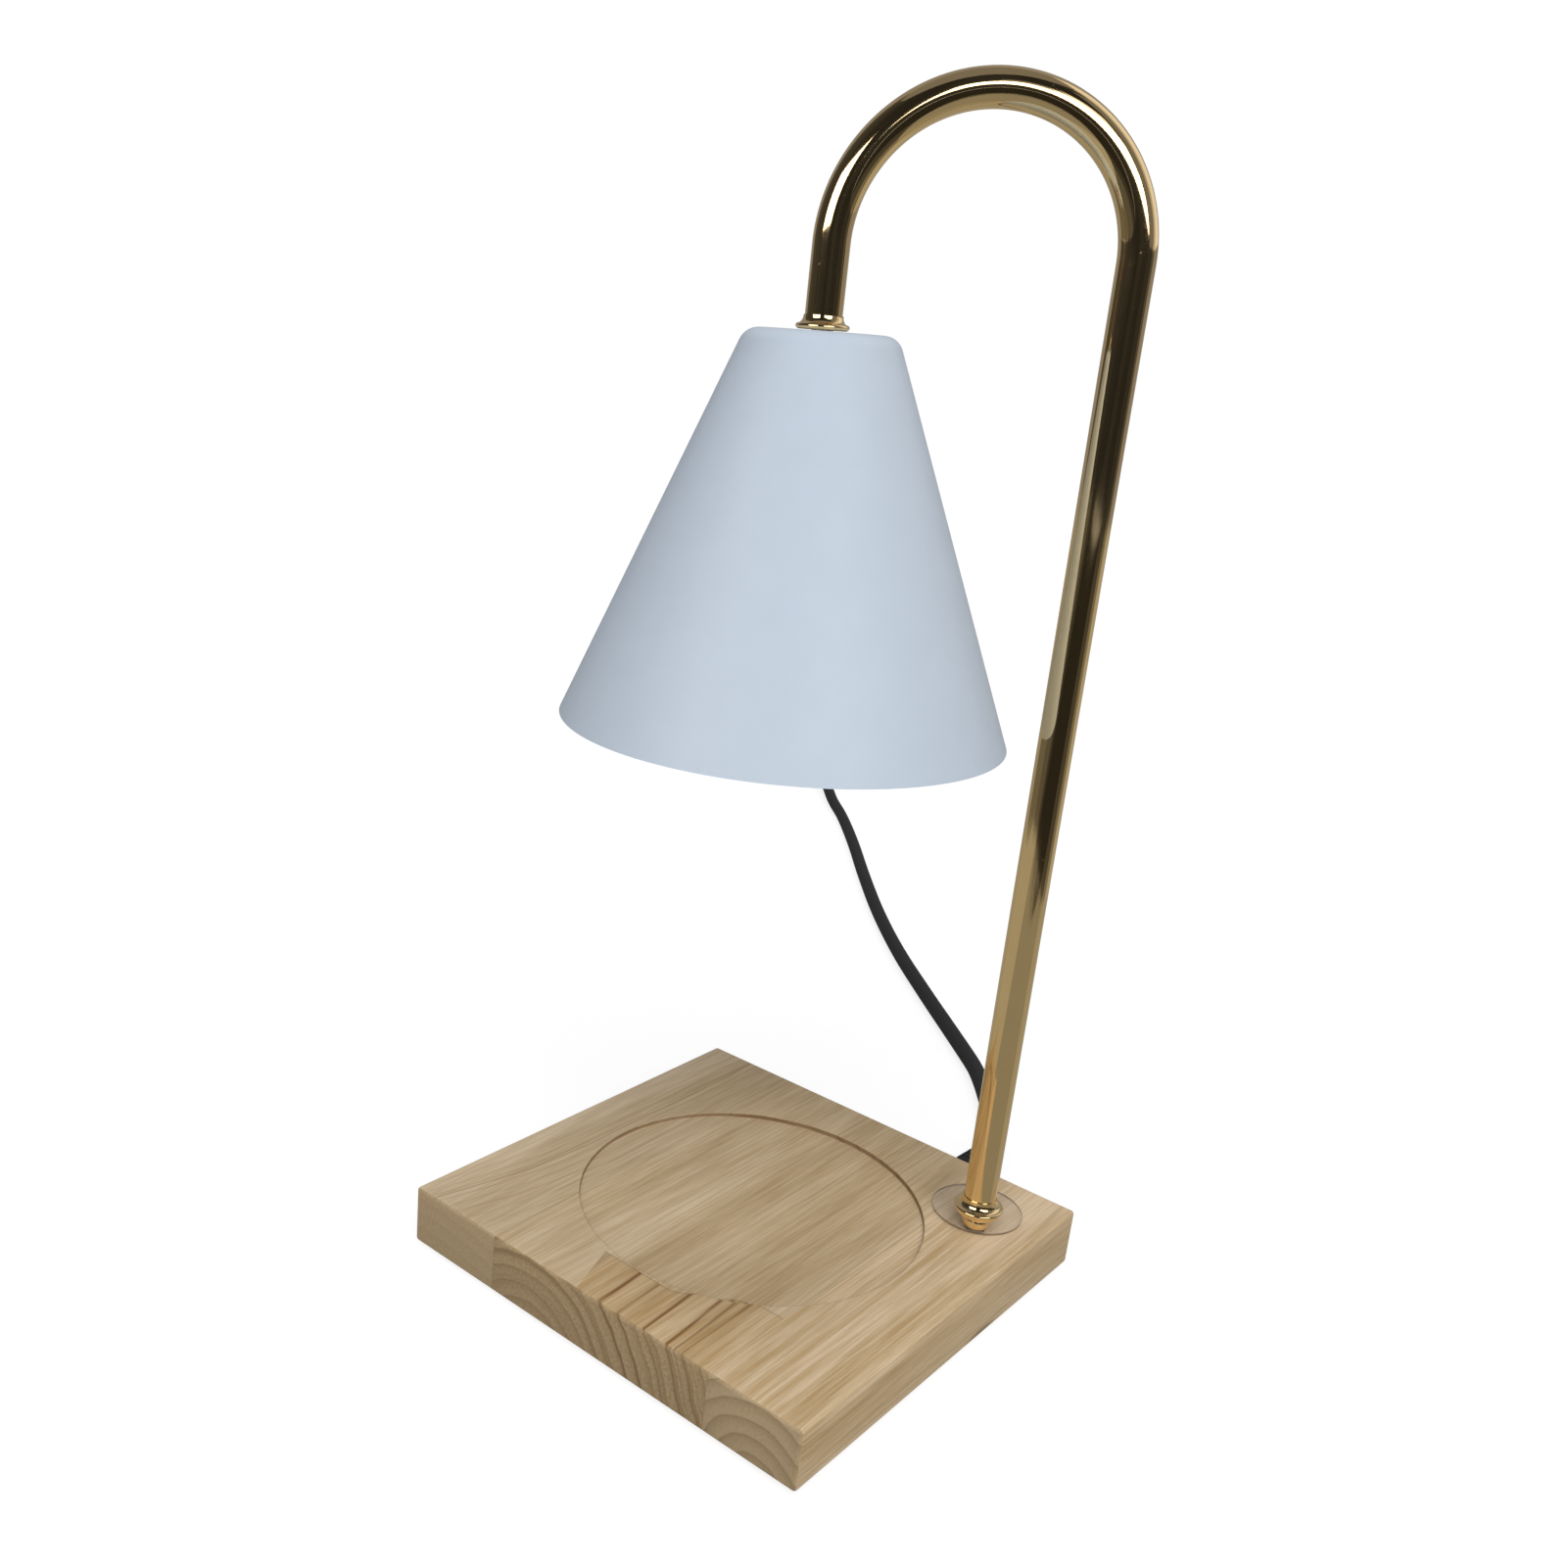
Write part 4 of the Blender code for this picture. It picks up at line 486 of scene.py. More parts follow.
CERAMIC = Finish("steatite", "ceramic", (0.80, 0.78, 0.71), 0.62, 0.0, 0.05, 0.4, 0.02)
MIRROR = FacetedMirror("reflector_coat", "reflector", (0.86, 0.86, 0.88), 0.10, 0.95, 0.03, grain_depth=0.25,
                       grain_strength=0.6)
GLASS = ClearGlass("clear_glass", "glass", (0.96, 0.97, 0.97), 0.03, 0.0, 0.01)
FILAMENT = Finish("tungsten", "zinc_steel", (0.42, 0.40, 0.38), 0.45, 1.0, 0.10, 0.3)
CIRCUIT = CircuitPlate("solder_mask", "circuit", (0.03, 0.17, 0.07), 0.35, grain_depth=0.03)
BROWN_CORE = Finish("brown_core", "brown_insulation", (0.17, 0.075, 0.035), 0.42, 0.0, 0.10, 0.8)
BLUE_CORE = Finish("blue_core", "blue_insulation", (0.05, 0.13, 0.40), 0.42, 0.0, 0.10, 0.8)
CARRIED = (ZINC, BRASS, CERAMIC, MOULDING, RUBBER, JACKET, CIRCUIT, BROWN_CORE, BLUE_CORE, GOLD, WOOD, WHITE,
           GLASS, MIRROR, CLEAR)


# Shapes


class Box:
    """A CAD node's box: its corners, its middle, its size and half its width."""

    def __init__(self, node: str) -> None:
        """Reads the node's corners."""
        self.low, self.high = (Vector(corner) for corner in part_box(node))
        self.centre = (self.low + self.high) / 2
        self.size = self.high - self.low
        self.radius = self.size.x / 2


def shift(x: float = 0.0, y: float = 0.0, z: float = 0.0) -> Matrix:
    """A shift by three distances."""
    return Matrix.Translation((x, y, z))


def turn(degrees: float, axis: str) -> Matrix:
    """A turn about an axis."""
    return Matrix.Rotation(math.radians(degrees), 4, axis)


def arc(centre: Point2, radii: Union[float, Point2], start: float, end: float, steps: int = 8) -> list[Point2]:
    """Points on a circle's or an ellipse's arc.

    Args:
        centre: Its middle, as radius and height.
        radii: Its radius, or its two half widths.
        start: The first point's angle in degrees.
        end: The last point's angle in degrees.
        steps: How many steps the arc has.

    Returns:
        The points, both ends included.
    """
    wide, tall = radii if isinstance(radii, tuple) else (radii, radii)
    angles = [math.radians(start + (end - start) * step / steps) for step in range(steps + 1)]
    return [(centre[0] + wide * math.cos(a), centre[1] + tall * math.sin(a)) for a in angles]


def between(one: Point2, two: Point2) -> list[Point2]:
    """Three points on the straight way from one point to another."""
    across, up = two[0] - one[0], two[1] - one[1]
    return [(one[0] + across * share, one[1] + up * share) for share in (0.25, 0.5, 0.75)]


def circle(radius: float, sides: int, at: Sequence[float] = (0.0, 0.0)) -> list[Point2]:
    """The corners of a regular polygon, or its middle alone when the radius is nought."""
    count = sides if radius > ON_AXIS else 1
    turns = [math.tau * step / count for step in range(count)]
    return [(at[0] + radius * math.cos(t), at[1] + radius * math.sin(t)) for t in turns]


def rounded_rectangle(width: float, height: float, corner: float, steps: int = 5) -> list[Point2]:
    """The outline of a rectangle with round corners, about the origin."""
    outline: list[Point2] = []
    for quarter, (side_x, side_y) in enumerate(((1, 1), (-1, 1), (-1, -1), (1, -1))):
        centre = (side_x * (width / 2 - corner), side_y * (height / 2 - corner))
        outline += arc(centre, corner, 90 * quarter, 90 * quarter + 90, steps)
    return outline


def finished_mesh(name: str, bm: bmesh.types.BMesh, sharp: float = 40.0) -> Piece:
    """An object from a bmesh, smooth but for edges sharper than an angle in degrees."""
    bmesh.ops.remove_doubles(bm, verts=bm.verts, dist=0.001 * MM)
    bmesh.ops.recalc_face_normals(bm, faces=bm.faces)
    mesh = bpy.data.meshes.new(name)
    bm.to_mesh(mesh)
    bm.free()
    mesh.shade_smooth()
    mesh.set_sharp_from_angle(angle=math.radians(sharp))
    return placed_object(name, mesh)


def placed_object(name: str, data: bpy.types.ID) -> Piece:
    """An object with this data, in the scene."""
    made = bpy.data.objects.new(name, data)
    bpy.context.scene.collection.objects.link(made)
    return made


def bevel(bm: bmesh.types.BMesh, edges: Sequence[bmesh.types.BMEdge], round_off: float, segments: int) -> None:
    """Rounds edges off."""
    bmesh.ops.bevel(bm, geom=list(edges), offset=round_off, segments=segments, profile=0.5, affect="EDGES")


def loft(name: str, rings: Sequence[Sequence], looped: bool = False, sharp: float = 40.0,
         round_off: float = 0.0, segments: int = 3) -> Piece:
    """A piece whose skin runs from each ring of points to the next.

    Args:
        name: The piece's name.
        rings: Its rings, each of as many points or of one.
        looped: Whether the last ring joins the first; a piece that isn't looped is capped.
        sharp: The angle in degrees from which an edge stays sharp.
        round_off: The radius of the caps' edges.
        segments: The steps in those edges.

    Returns:
        The piece.
    """
    bm = bmesh.new()
    loops = [[bm.verts.new(point) for point in ring] for ring in rings]
    pairs = list(zip(loops, loops[1:])) + ([(loops[-1], loops[0])] if looped else [])
    for here, there in pairs:
        width = max(len(here), len(there))
        one, two = ((ring * width)[:width] for ring in (here, there))
        for k in range(width if width > 1 else 0):
            after = (k + 1) % width
            bm.faces.new(list(dict.fromkeys((one[k], one[after], two[after], two[k]))))
    if not looped:
        caps = [bm.faces.new(loops[0]), bm.faces.new(loops[-1])]
        if round_off:
            bevel(bm, {edge for cap in caps for edge in cap.edges}, round_off, segments)
    return finished_mesh(name, bm, sharp)


def lathe(name: str, profile: Sequence[Point2], at: Sequence[float] = (0.0, 0.0), sides: int = 64,
          sharp: float = 40.0) -> Piece:
    """A turned piece about an upright axis at x and y, from a closed outline of (radius, height) points."""
    rings = [[(x, y, height) for x, y in circle(radius, sides, at)] for radius, height in profile]
    return loft(name, rings, True, sharp)


def rod(name: str, radius: float, low: float, high: float, at: Sequence[float] = (0.0, 0.0),
        sides: int = 24) -> Piece:
    """A plain round rod between two heights."""
    return lathe(name, [(0, low), (radius, low), (radius, high), (0, high)], at, sides)


def sweep(name: str, path: Sequence[Vector], section: Sequence[Point2], up: Vector, looped: bool = False,
          bore: Sequence[Point2] = (), sharp: float = 40.0) -> Piece:
    """A section carried along a path.

    Args:
        name: The piece's name.
        path: The points it follows.
        section: The outline, as (across, up) points.
        up: The way the section's second axis points at the start.
        looped: Whether the path closes on itself.
        bore: An inner outline with as many points, for a hollow section.
        sharp: The angle in degrees from which an edge stays sharp.

    Returns:
        The piece.
    """
    outer: list[list[Vector]] = []
    inner: list[list[Vector]] = []
    lift = up.normalized()
    for index, point in enumerate(path):
        before = path[index - 1] if looped or index else point
        after = path[(index + 1) % len(path)] if looped or index < len(path) - 1 else point
        way = (after - before).normalized()
        lift = (lift - lift.dot(way) * way).normalized()
        side = way.cross(lift)
        outer.append([point + side * u + lift * v for u, v in section])
        inner.append([point + side * u + lift * v for u, v in bore])
    if bore:
        return loft(name, outer + inner[::-1], True, sharp)
    return loft(name, outer, looped, sharp)


def plate(name: str, outline: Sequence[Point2], low: float, high: float, round_off: float = 0.0) -> Piece:
    """A flat piece from an outline, between two heights, its long edges rounded off."""
    rings = [[(x, y, height) for x, y in outline] for height in (low, high)]
    return loft(name, rings, round_off=round_off, segments=2)


def soft_box(name: str, size: Point2, corner: float, low: float, high: float, round_off: float) -> Piece:
    """A box with round corners, about an upright axis, whose top and bottom edges are evenly rounded off."""
    curve = [(round_off - x, round_off - y) for y, x in arc((0, 0), round_off, 0, 90, 6)]
    levels = [(inset, low + rise) for inset, rise in curve]
    levels += [(inset, high - rise) for inset, rise in reversed(curve)]
    rings = []
    for inset, height in levels:
        outline = rounded_rectangle(size[0] - 2 * inset, size[1] - 2 * inset, corner - inset, 8)
        rings.append([(x, y, height) for x, y in outline])
    return loft(name, rings, sharp=30)


def block(name: str, at: Sequence[float], half: Sequence[float], low: float, high: float,
          round_off: float = 0.0, segments: int = 2) -> Piece:
    """A box about an upright axis at x and y, with its half sizes and two heights, every edge rounded off."""
    bm = bmesh.new()
    bmesh.ops.create_cube(bm, size=1)
    bmesh.ops.scale(bm, verts=bm.verts, vec=(2 * half[0], 2 * half[1], high - low))
    bmesh.ops.translate(bm, verts=bm.verts, vec=(at[0], at[1], (low + high) / 2))
    if round_off:
        bevel(bm, bm.edges, round_off, segments)
    return finished_mesh(name, bm)


def moved(piece: Piece, place: Matrix) -> Piece:
    """Moves a piece's mesh, and leaves its object at the origin."""
    piece.data.transform(place)
    return piece


def carve(piece: Piece, tools: Sequence[Piece], operation: str = "DIFFERENCE", sharp: float = 40.0) -> Piece:
    """Cuts tools out of a piece, or joins them to it, and removes them.

    Args:
        piece: The mesh object to work on.
        tools: The mesh objects to cut with or to join.
        operation: The Boolean's operation.
        sharp: The angle in degrees from which an edge stays sharp.

    Returns:
        The piece with its new mesh.
    """
    for tool in tools:
        step = piece.modifiers.new(tool.name, "BOOLEAN")
        step.operation = operation
        step.solver = "EXACT"
        step.object = tool
    bpy.context.view_layer.update()
    mesh = bpy.data.meshes.new_from_object(piece.evaluated_get(bpy.context.evaluated_depsgraph_get()))
    piece.modifiers.clear()
    piece.data = mesh
    for tool in tools:
        bpy.data.objects.remove(tool, do_unlink=True)
    mesh.shade_smooth()
    mesh.set_sharp_from_angle(angle=math.radians(sharp))
    return piece


def curve_piece(name: str, points: Sequence[Vector], radius: float) -> Piece:
    """A round cord as a curve of one open spline."""
    curve = bpy.data.curves.new(name, "CURVE")
    curve.dimensions = "3D"
    curve.bevel_depth = radius
    curve.bevel_resolution = 5
    curve.use_fill_caps = True
    spline = curve.splines.new("POLY")
    spline.points.add(len(points) - 1)
    for target, point in zip(spline.points, points):
        target.co = (*point, 1.0)
    spline.use_smooth = True
    return placed_object(name, curve)


def fit(piece: Piece, finish: Finish, *nodes: str, body: Body = Body.LAMP) -> None:
    """Gives a piece its finish and body, and lets it stand for its nodes.

    Args:
        piece: The piece, in place.
        finish: What its surface is.
        *nodes: The CAD nodes it stands for.
        body: The body it rides on.
    """
    piece.data.materials.clear()
    piece.data.materials.append(finish.material())
    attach(piece, body.value)
    if nodes:
        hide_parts(*nodes)
    LOG.info("%s rides on %s for %s", piece.name, body.value, ", ".join(nodes) or "detail")


# Sub-assemblies


@dataclass
class WoodenBase:
    """The board with its round seat, its pads, and the cover of the pocket under it."""

    ease: float = 1.1 * MM
    seat_radius: float = 51.1 * MM
    seat_depth: float = 1.5 * MM
    seat_lip: float = 0.35 * MM
    seat_fillet: float = 0.5 * MM
    exit_hole: float = 4.3 * MM
    exit_depth: float = 24.0 * MM
    pocket_half: Point2 = (23.0 * MM, 11.25 * MM)
    pocket_depth: float = 12.0 * MM
    cover_corner: float = 1.5 * MM
    vent_half: Point2 = (0.8 * MM, 6.0 * MM)
    vent_gap: float = 5.0 * MM
    pad_edge: float = 0.4 * MM

    def build(self) -> None:
        """Builds the board, the pads and the cover with its screws."""
        self.board()
        for number in range(1, 5):
            self.pad(f"foot_pad_{number}")
        self.cover()

    def seat_cutter(self, top: float) -> Piece:
        """The shape that turns the seat into the board's top: a soft lip, a wall and a fillet."""
        floor = top - self.seat_depth
        mouth = self.seat_radius + self.seat_lip
        return lathe("seat_cutter", [
            (0.0, floor),
            *arc((self.seat_radius - self.seat_fillet, floor + self.seat_fillet), self.seat_fillet, -90, 0, 4),
            *arc((mouth, top - self.seat_lip), self.seat_lip, 180, 90, 4),
            (mouth, top + MM),
            (0.0, top + MM),
        ], sides=160)

    def board(self) -> None:
        """The board: eased edges, seat, pole hole, pocket, cover rebate and cord hole."""
        board, cover, relief = Box("base_board"), Box("pocket_cover"), Box("cord_relief")
        low, high = board.low.z, board.high.z
        wood = block("wood_board", board.centre, board.size / 2, low, high, self.ease, 4)
        rebate = (cover.radius + GAP, cover.size.y / 2 + GAP)
        way_out = shift(relief.centre.x, board.high.y - self.exit_depth, relief.centre.z) @ turn(-90, "X")
        carve(wood, [
            self.seat_cutter(high),
            rod("pole_cutter", NIPPLE_HOLE, low, high + MM, Box("pole_nipple").centre, 32),
            block("pocket_cutter", cover.centre, self.pocket_half, low - MM, low + self.pocket_depth),
            block("rebate_cutter", cover.centre, rebate, low - MM, cover.high.z + GAP),
            moved(rod("exit_cutter", self.exit_hole, 0, 1.5 * self.exit_depth, sides=32), way_out),
        ], sharp=50)
        fit(wood, WOOD, "base_board")

    def pad(self, node: str) -> None:
        """One rubber pad with a rounded foot and a shallow dish."""
        box = Box(node)
        low, edge = box.low.z, self.pad_edge
        profile = [
            (0, low + 0.5 * edge), (box.radius * 0.55, low + 0.5 * edge), (box.radius * 0.66, low),
            *arc((box.radius - edge, low + edge), edge, -90, 0, 4),
            (box.radius, box.high.z), (0, box.high.z),
        ]
        fit(lathe(f"{node}_rubber", profile, box.centre, 48), RUBBER, node)

    def cover(self) -> None:
        """The pocket's cover with eased edges, a row of slots and two screws."""
        box = Box("pocket_cover")
        under, over = box.low.z - MM, box.high.z + MM
        outline = rounded_rectangle(box.size.x, box.size.y, self.cover_corner)
        sheet = plate("pocket_cover_plate", outline, box.low.z, box.high.z, 0.3 * MM)
        moved(sheet, shift(box.centre.x, box.centre.y))
        screws = ("cover_screw_1", "cover_screw_2")
        tools = [rod(f"{node}_way", SCREW_HOLE, under, over, Box(node).centre) for node in screws]
        for step in range(-2, 3):
            at = (box.centre.x + step * self.vent_gap, box.centre.y)
            tools.append(block(f"vent_{step}", at, self.vent_half, under, over, 0.3 * MM))
        fit(carve(sheet, tools), MOULDING, "pocket_cover")
        for node in screws:
            cross_screw(node)


def cross_screw(node: str, place: Union[Matrix, None] = None) -> None:
    """A domed screw with a cross slot over a plain CAD screw.

    Args:
        node: The CAD node it stands for.
        place: Where a screw that lies along X goes; any other stands on its head.
    """
    box = Box(node)
    length, head = (box.size.x, box.size.y / 2) if place else (box.size.z, box.radius)
    thick = 0.9 * MM
    dome = arc((0, length - thick), (head, thick), 0, 90, 6)
    screw = lathe(f"{node}_cross", [(0, 0), (head / 2, 0), (head / 2, length - thick), *dome], sides=32)
    long, narrow = head * 0.55, head * 0.12
    carve(screw, [block(f"{node}_slot", (0, 0), half, length - thick * 0.6, length + MM)
                  for half in ((long, narrow), (narrow, long))])
    moved(screw, place or shift(box.centre.x, box.centre.y, box.high.z) @ turn(180, "X"))
    fit(screw, ZINC, node)


@dataclass
class BentPole:
    """The clear disc, the turned collar on it, the bent tube, and the collar on the shade."""

    tube_radius: float = 4.6 * MM
    tube_wall: float = 0.8 * MM
    arch_radius: float = 36.1 * MM
    arch_steps: int = 72
    heading: float = math.radians(218.2)
    disc_edge: float = 0.2 * MM
    cup: float = 4.65 * MM
    lip: float = 0.5 * MM
    waist: Point2 = (3.75 * MM, 5.6 * MM)
    bead: Point2 = (3.5 * MM, 1.6 * MM)

    def build(self) -> None:
        """Builds the disc, both collars and the tube."""
        self.disc()
        self.foot_collar()
        self.tube()
        self.shade_collar()

    def disc(self) -> None:
        """The clear disc, with a softly rounded rim and the hole for the pole's nipple."""
        box = Box("foot_disc")
        low, high, edge = box.low.z, box.high.z, self.disc_edge
        under = arc((box.radius - edge, low + edge), edge, -90, 0, 3)
        over = arc((box.radius - edge, high - edge), edge, 0, 90, 3)
        disc = lathe("clear_disc", [(0, low), *under, *over, (0, high)], box.centre, 96)
        hole = rod("disc_cutter", NIPPLE_HOLE, low - MM, high + MM, Box("pole_nipple").centre, 32)
        fit(carve(disc, [hole]), CLEAR, "foot_disc")

    def collar(self, node: str, flare: float, below: Sequence[Point2], cup_depth: float, steps: int) -> None:
        """A turned collar: a hollow flare up to the tube over a shape of its own, with a cup for the tube.

        Args:
            node: The CAD node it stands for.
            flare: The flare's height.
            below: The points under the flare, outside, from its foot down to the collar's.
            cup_depth: How far down the tube goes.
            steps: How many steps the flare has.
        """
        box = Box(node)
        edge, top = box.radius - self.lip, box.high.z
        profile = [
            (self.cup, top), *arc((edge, top), (edge - self.cup - 0.2 * MM, flare), 180, 270, steps), *below,
            (NIPPLE_HOLE, box.low.z), (NIPPLE_HOLE, top - cup_depth), (self.cup, top - cup_depth),
        ]
        fit(lathe(f"turned_{node}", profile, box.centre, 96, 55), GOLD, node)

    def foot_collar(self) -> None:
        """The collar at the foot: a bead, a waist, and a bowl with a round lip."""
        box = Box("foot_collar")
        edge, base = box.radius - self.lip, box.low.z
        lip = arc((edge, base + 6.2 * MM), (self.lip, 0.6 * MM), 80, -80, 10)
        bowl = arc((self.waist[0], base + self.waist[1]), (edge - self.waist[0], 2.35 * MM), 0, -90, 10)
        bead = arc((self.bead[0], base + self.bead[1]), (0.6 * MM, 1.55 * MM), 84, -84, 12)
        self.collar("foot_collar", 2.8 * MM, [*lip, *bowl, *bead, (self.bead[0], base)], 4.4 * MM, 10)

    def shade_collar(self) -> None:
        """The collar on the shade: a low round lip."""
        box = Box("shade_collar")
        edge, base = box.radius - self.lip, box.low.z
        lip = arc((edge, base + 0.75 * MM), (self.lip, 0.62 * MM), 80, -80, 8)
        self.collar("shade_collar", 2.0 * MM, [*lip, (edge - 0.1 * MM, base)], 2.2 * MM, 8)

    def tube(self) -> None:
        """The tube: a straight pole, a half-circle arch and a short arm down to the shade."""
        foot = Box("pole_bush")
        crown = Box("pole_tube").high.z - self.tube_radius - self.arch_radius
        way = Vector((math.cos(self.heading), math.sin(self.heading), 0))
        path = [Vector((foot.centre.x, foot.centre.y, foot.low.z))]
        for step in range(self.arch_steps + 1):
            angle = math.pi * step / self.arch_steps
            point = foot.centre + way * self.arch_radius * (1 - math.cos(angle))
            point.z = crown + self.arch_radius * math.sin(angle)
            path.append(point)
        path.append(Vector((path[-1].x, path[-1].y, Box("arm_bush").low.z)))
        tube = sweep("bent_tube", path, circle(self.tube_radius, 64), Vector((-way.y, way.x, 0)),
                     bore=circle(self.tube_radius - self.tube_wall, 64), sharp=60)
        fit(tube, GOLD, "pole_tube")


@dataclass
class ConeShade:
    """The spun cone shade with its flat top, round shoulder and rolled rim."""

    wall: float = 1.0 * MM
    shoulder: float = 5.0 * MM
    top_radius: float = 18.65 * MM

    def build(self) -> None:
        """Builds the shade."""
        box = Box("shade")
        low, high = box.low.z, box.high.z
        lean = math.atan2(box.radius - self.top_radius, high - low)
        steep = math.degrees(math.pi / 2 - lean)
        reach = self.shoulder * math.tan(math.radians(steep) / 2)
        centre = (self.top_radius - reach, high - self.shoulder)
        outer = arc(centre, self.shoulder, 90, 90 - steep, 12)
        inner = arc(centre, self.shoulder - self.wall, 90 - steep, 90, 12)
        half = self.wall / 2
        slope = Vector((math.sin(lean), -math.cos(lean)))
        outward = Vector((math.cos(lean), math.sin(lean)))
        edge = Vector((box.radius, low)) - outward * half - slope * half * 0.2
        turns = [math.pi * step / 8 for step in range(9)]
        points = [edge + outward * half * math.cos(t) + slope * half * math.sin(t) * 0.9 for t in turns]
        roll = [(point.x, max(low, point.y)) for point in points]
        profile = [
            (NIPPLE_HOLE, high), *outer, *between(outer[-1], roll[0]), *roll,
            *between(roll[-1], inner[0]), *inner, (NIPPLE_HOLE, high - self.wall),
        ]
        fit(lathe("cone_shade", profile, box.centre, 160, 50), WHITE, "shade")


@dataclass
class HalogenBulb:
    """The twist-lock halogen bulb: ceramic base, pins, coated reflector, lens and capsule."""

    base_radius: float = 11.3 * MM
    base_shoulder: float = 12.6 * MM
    pin_neck: Point2 = (1.3 * MM, 2.6 * MM)
    neck: float = 11.8 * MM
    wall: float = 1.2 * MM
    rim: float = 3.0 * MM
    bowl_steps: int = 14
    capsule: float = 5.2 * MM
    capsule_wall: float = 0.7 * MM
    coil_turns: int = 11
    coil_width: float = 5.0 * MM
    coil_radius: float = 0.55 * MM
    wire: float = 0.12 * MM

    def build(self) -> None:
        """Builds the bulb's pieces."""
        box = Box("bulb_base")
        self.at = (box.centre.x, box.centre.y)
        low, high = box.low.z, box.high.z
        edge, flange = 0.8 * MM, low + self.rim
        profile = [
            (0, high), *arc((self.base_radius - edge, high - edge), edge, 90, 0, 4),
            (self.base_radius, (low + high) / 2), (self.base_shoulder - 0.3 * MM, flange + 0.6 * MM),
            *arc((self.base_shoulder - 0.4 * MM, flange), 0.4 * MM, 60, 0, 3),
            (self.base_shoulder, low), (0, low),
        ]
        fit(lathe("bulb_base_ceramic", profile, self.at), CERAMIC, "bulb_base", body=Body.BULB)
        for node in ("bulb_pin_1", "bulb_pin_2"):
            self.pin(node)
        self.reflector()
        self.lens()
        self.filament_capsule()

    def pin(self, node: str) -> None:
        """A headed pin, its head eased."""
        box = Box(node)
        low, high, edge = box.low.z, box.high.z, 0.3 * MM
        radius, neck = self.pin_neck[0], high - self.pin_neck[1]
        profile = [(0, high), *arc((box.radius - edge, high - edge), edge, 90, 0, 3), (box.radius, neck),
                   (radius, neck), (radius, low), (0, low)]
        fit(lathe(f"{node}_headed", profile, box.centre, 32), ZINC, node, body=Body.BULB)

    def reflector(self) -> None:
        """The bowl with its front rim, coated inside."""
        box = Box("bulb_reflector")
        low, high, wide = box.low.z, box.high.z, box.radius
        shares = [step / self.bowl_steps for step in range(self.bowl_steps + 1)]

        def bowl(inset: float) -> list[Point2]:
            """The bowl's curve from its neck to its rim, as far in as the inset says."""
            narrow, top = self.neck - inset, high - inset
            flare, drop = wide - self.neck, top - low - self.rim
            return [(narrow + flare * math.sqrt(share), top - drop * share) for share in shares]

        mouth = self.capsule + GAP
        profile = [
            (mouth, high), *bowl(0.0), (wide, low + 0.4 * MM), (wide - 0.4 * MM, low), (wide - self.wall, low),
            *reversed(bowl(self.wall)), (mouth, high - self.wall),
        ]
        fit(lathe("bulb_reflector_bowl", profile, self.at, 96, 50), MIRROR, "bulb_reflector", body=Body.BULB)

    def lens(self) -> None:
        """The front lens: a thin disc with a flat rim and a ring pressed round it."""
        box = Box("bulb_lens")
        low, high, radius, edge = box.low.z, box.high.z, box.radius, 0.2 * MM
        profile = [
            (0, low), (radius * 0.80, low), (radius * 0.84, low + 0.35 * MM), (radius * 0.88, low),
            (radius - edge, low), (radius, low + edge), (radius, high - edge), (radius - edge, high), (0, high),
        ]
        fit(lathe("bulb_lens_disc", profile, self.at, 96), GLASS, "bulb_lens", body=Body.BULB)

    def filament_capsule(self) -> None:
        """The round-ended capsule, with a coiled filament on its two supports inside."""
        box = Box("bulb_capsule")
        low, high, radius = box.low.z, box.high.z, self.capsule
        thin = radius - self.capsule_wall
        profile = [*arc((0, low + radius), radius, -90, 0, 10), (radius, high), (thin, high),
                   *arc((0, low + radius), thin, 0, -90, 10)]
        fit(lathe("bulb_capsule_glass", profile, self.at, 48), GLASS, "bulb_capsule", body=Body.BULB)
        steps = 12 * self.coil_turns
        coil = [
            Vector((self.at[0] + (step / steps - 0.5) * self.coil_width, self.at[1] + y, low + radius + z))
            for step, (y, z) in enumerate(arc((0, 0), self.coil_radius, 0, 360 * self.coil_turns, steps))
        ]
        start, end = (Vector((point.x, point.y, high - 0.4 * MM)) for point in (coil[0], coil[-1]))
        wire = sweep("bulb_filament", [start, *coil, end], circle(self.wire, 6), Vector((0, 1, 0)))
        fit(wire, FILAMENT, body=Body.BULB)


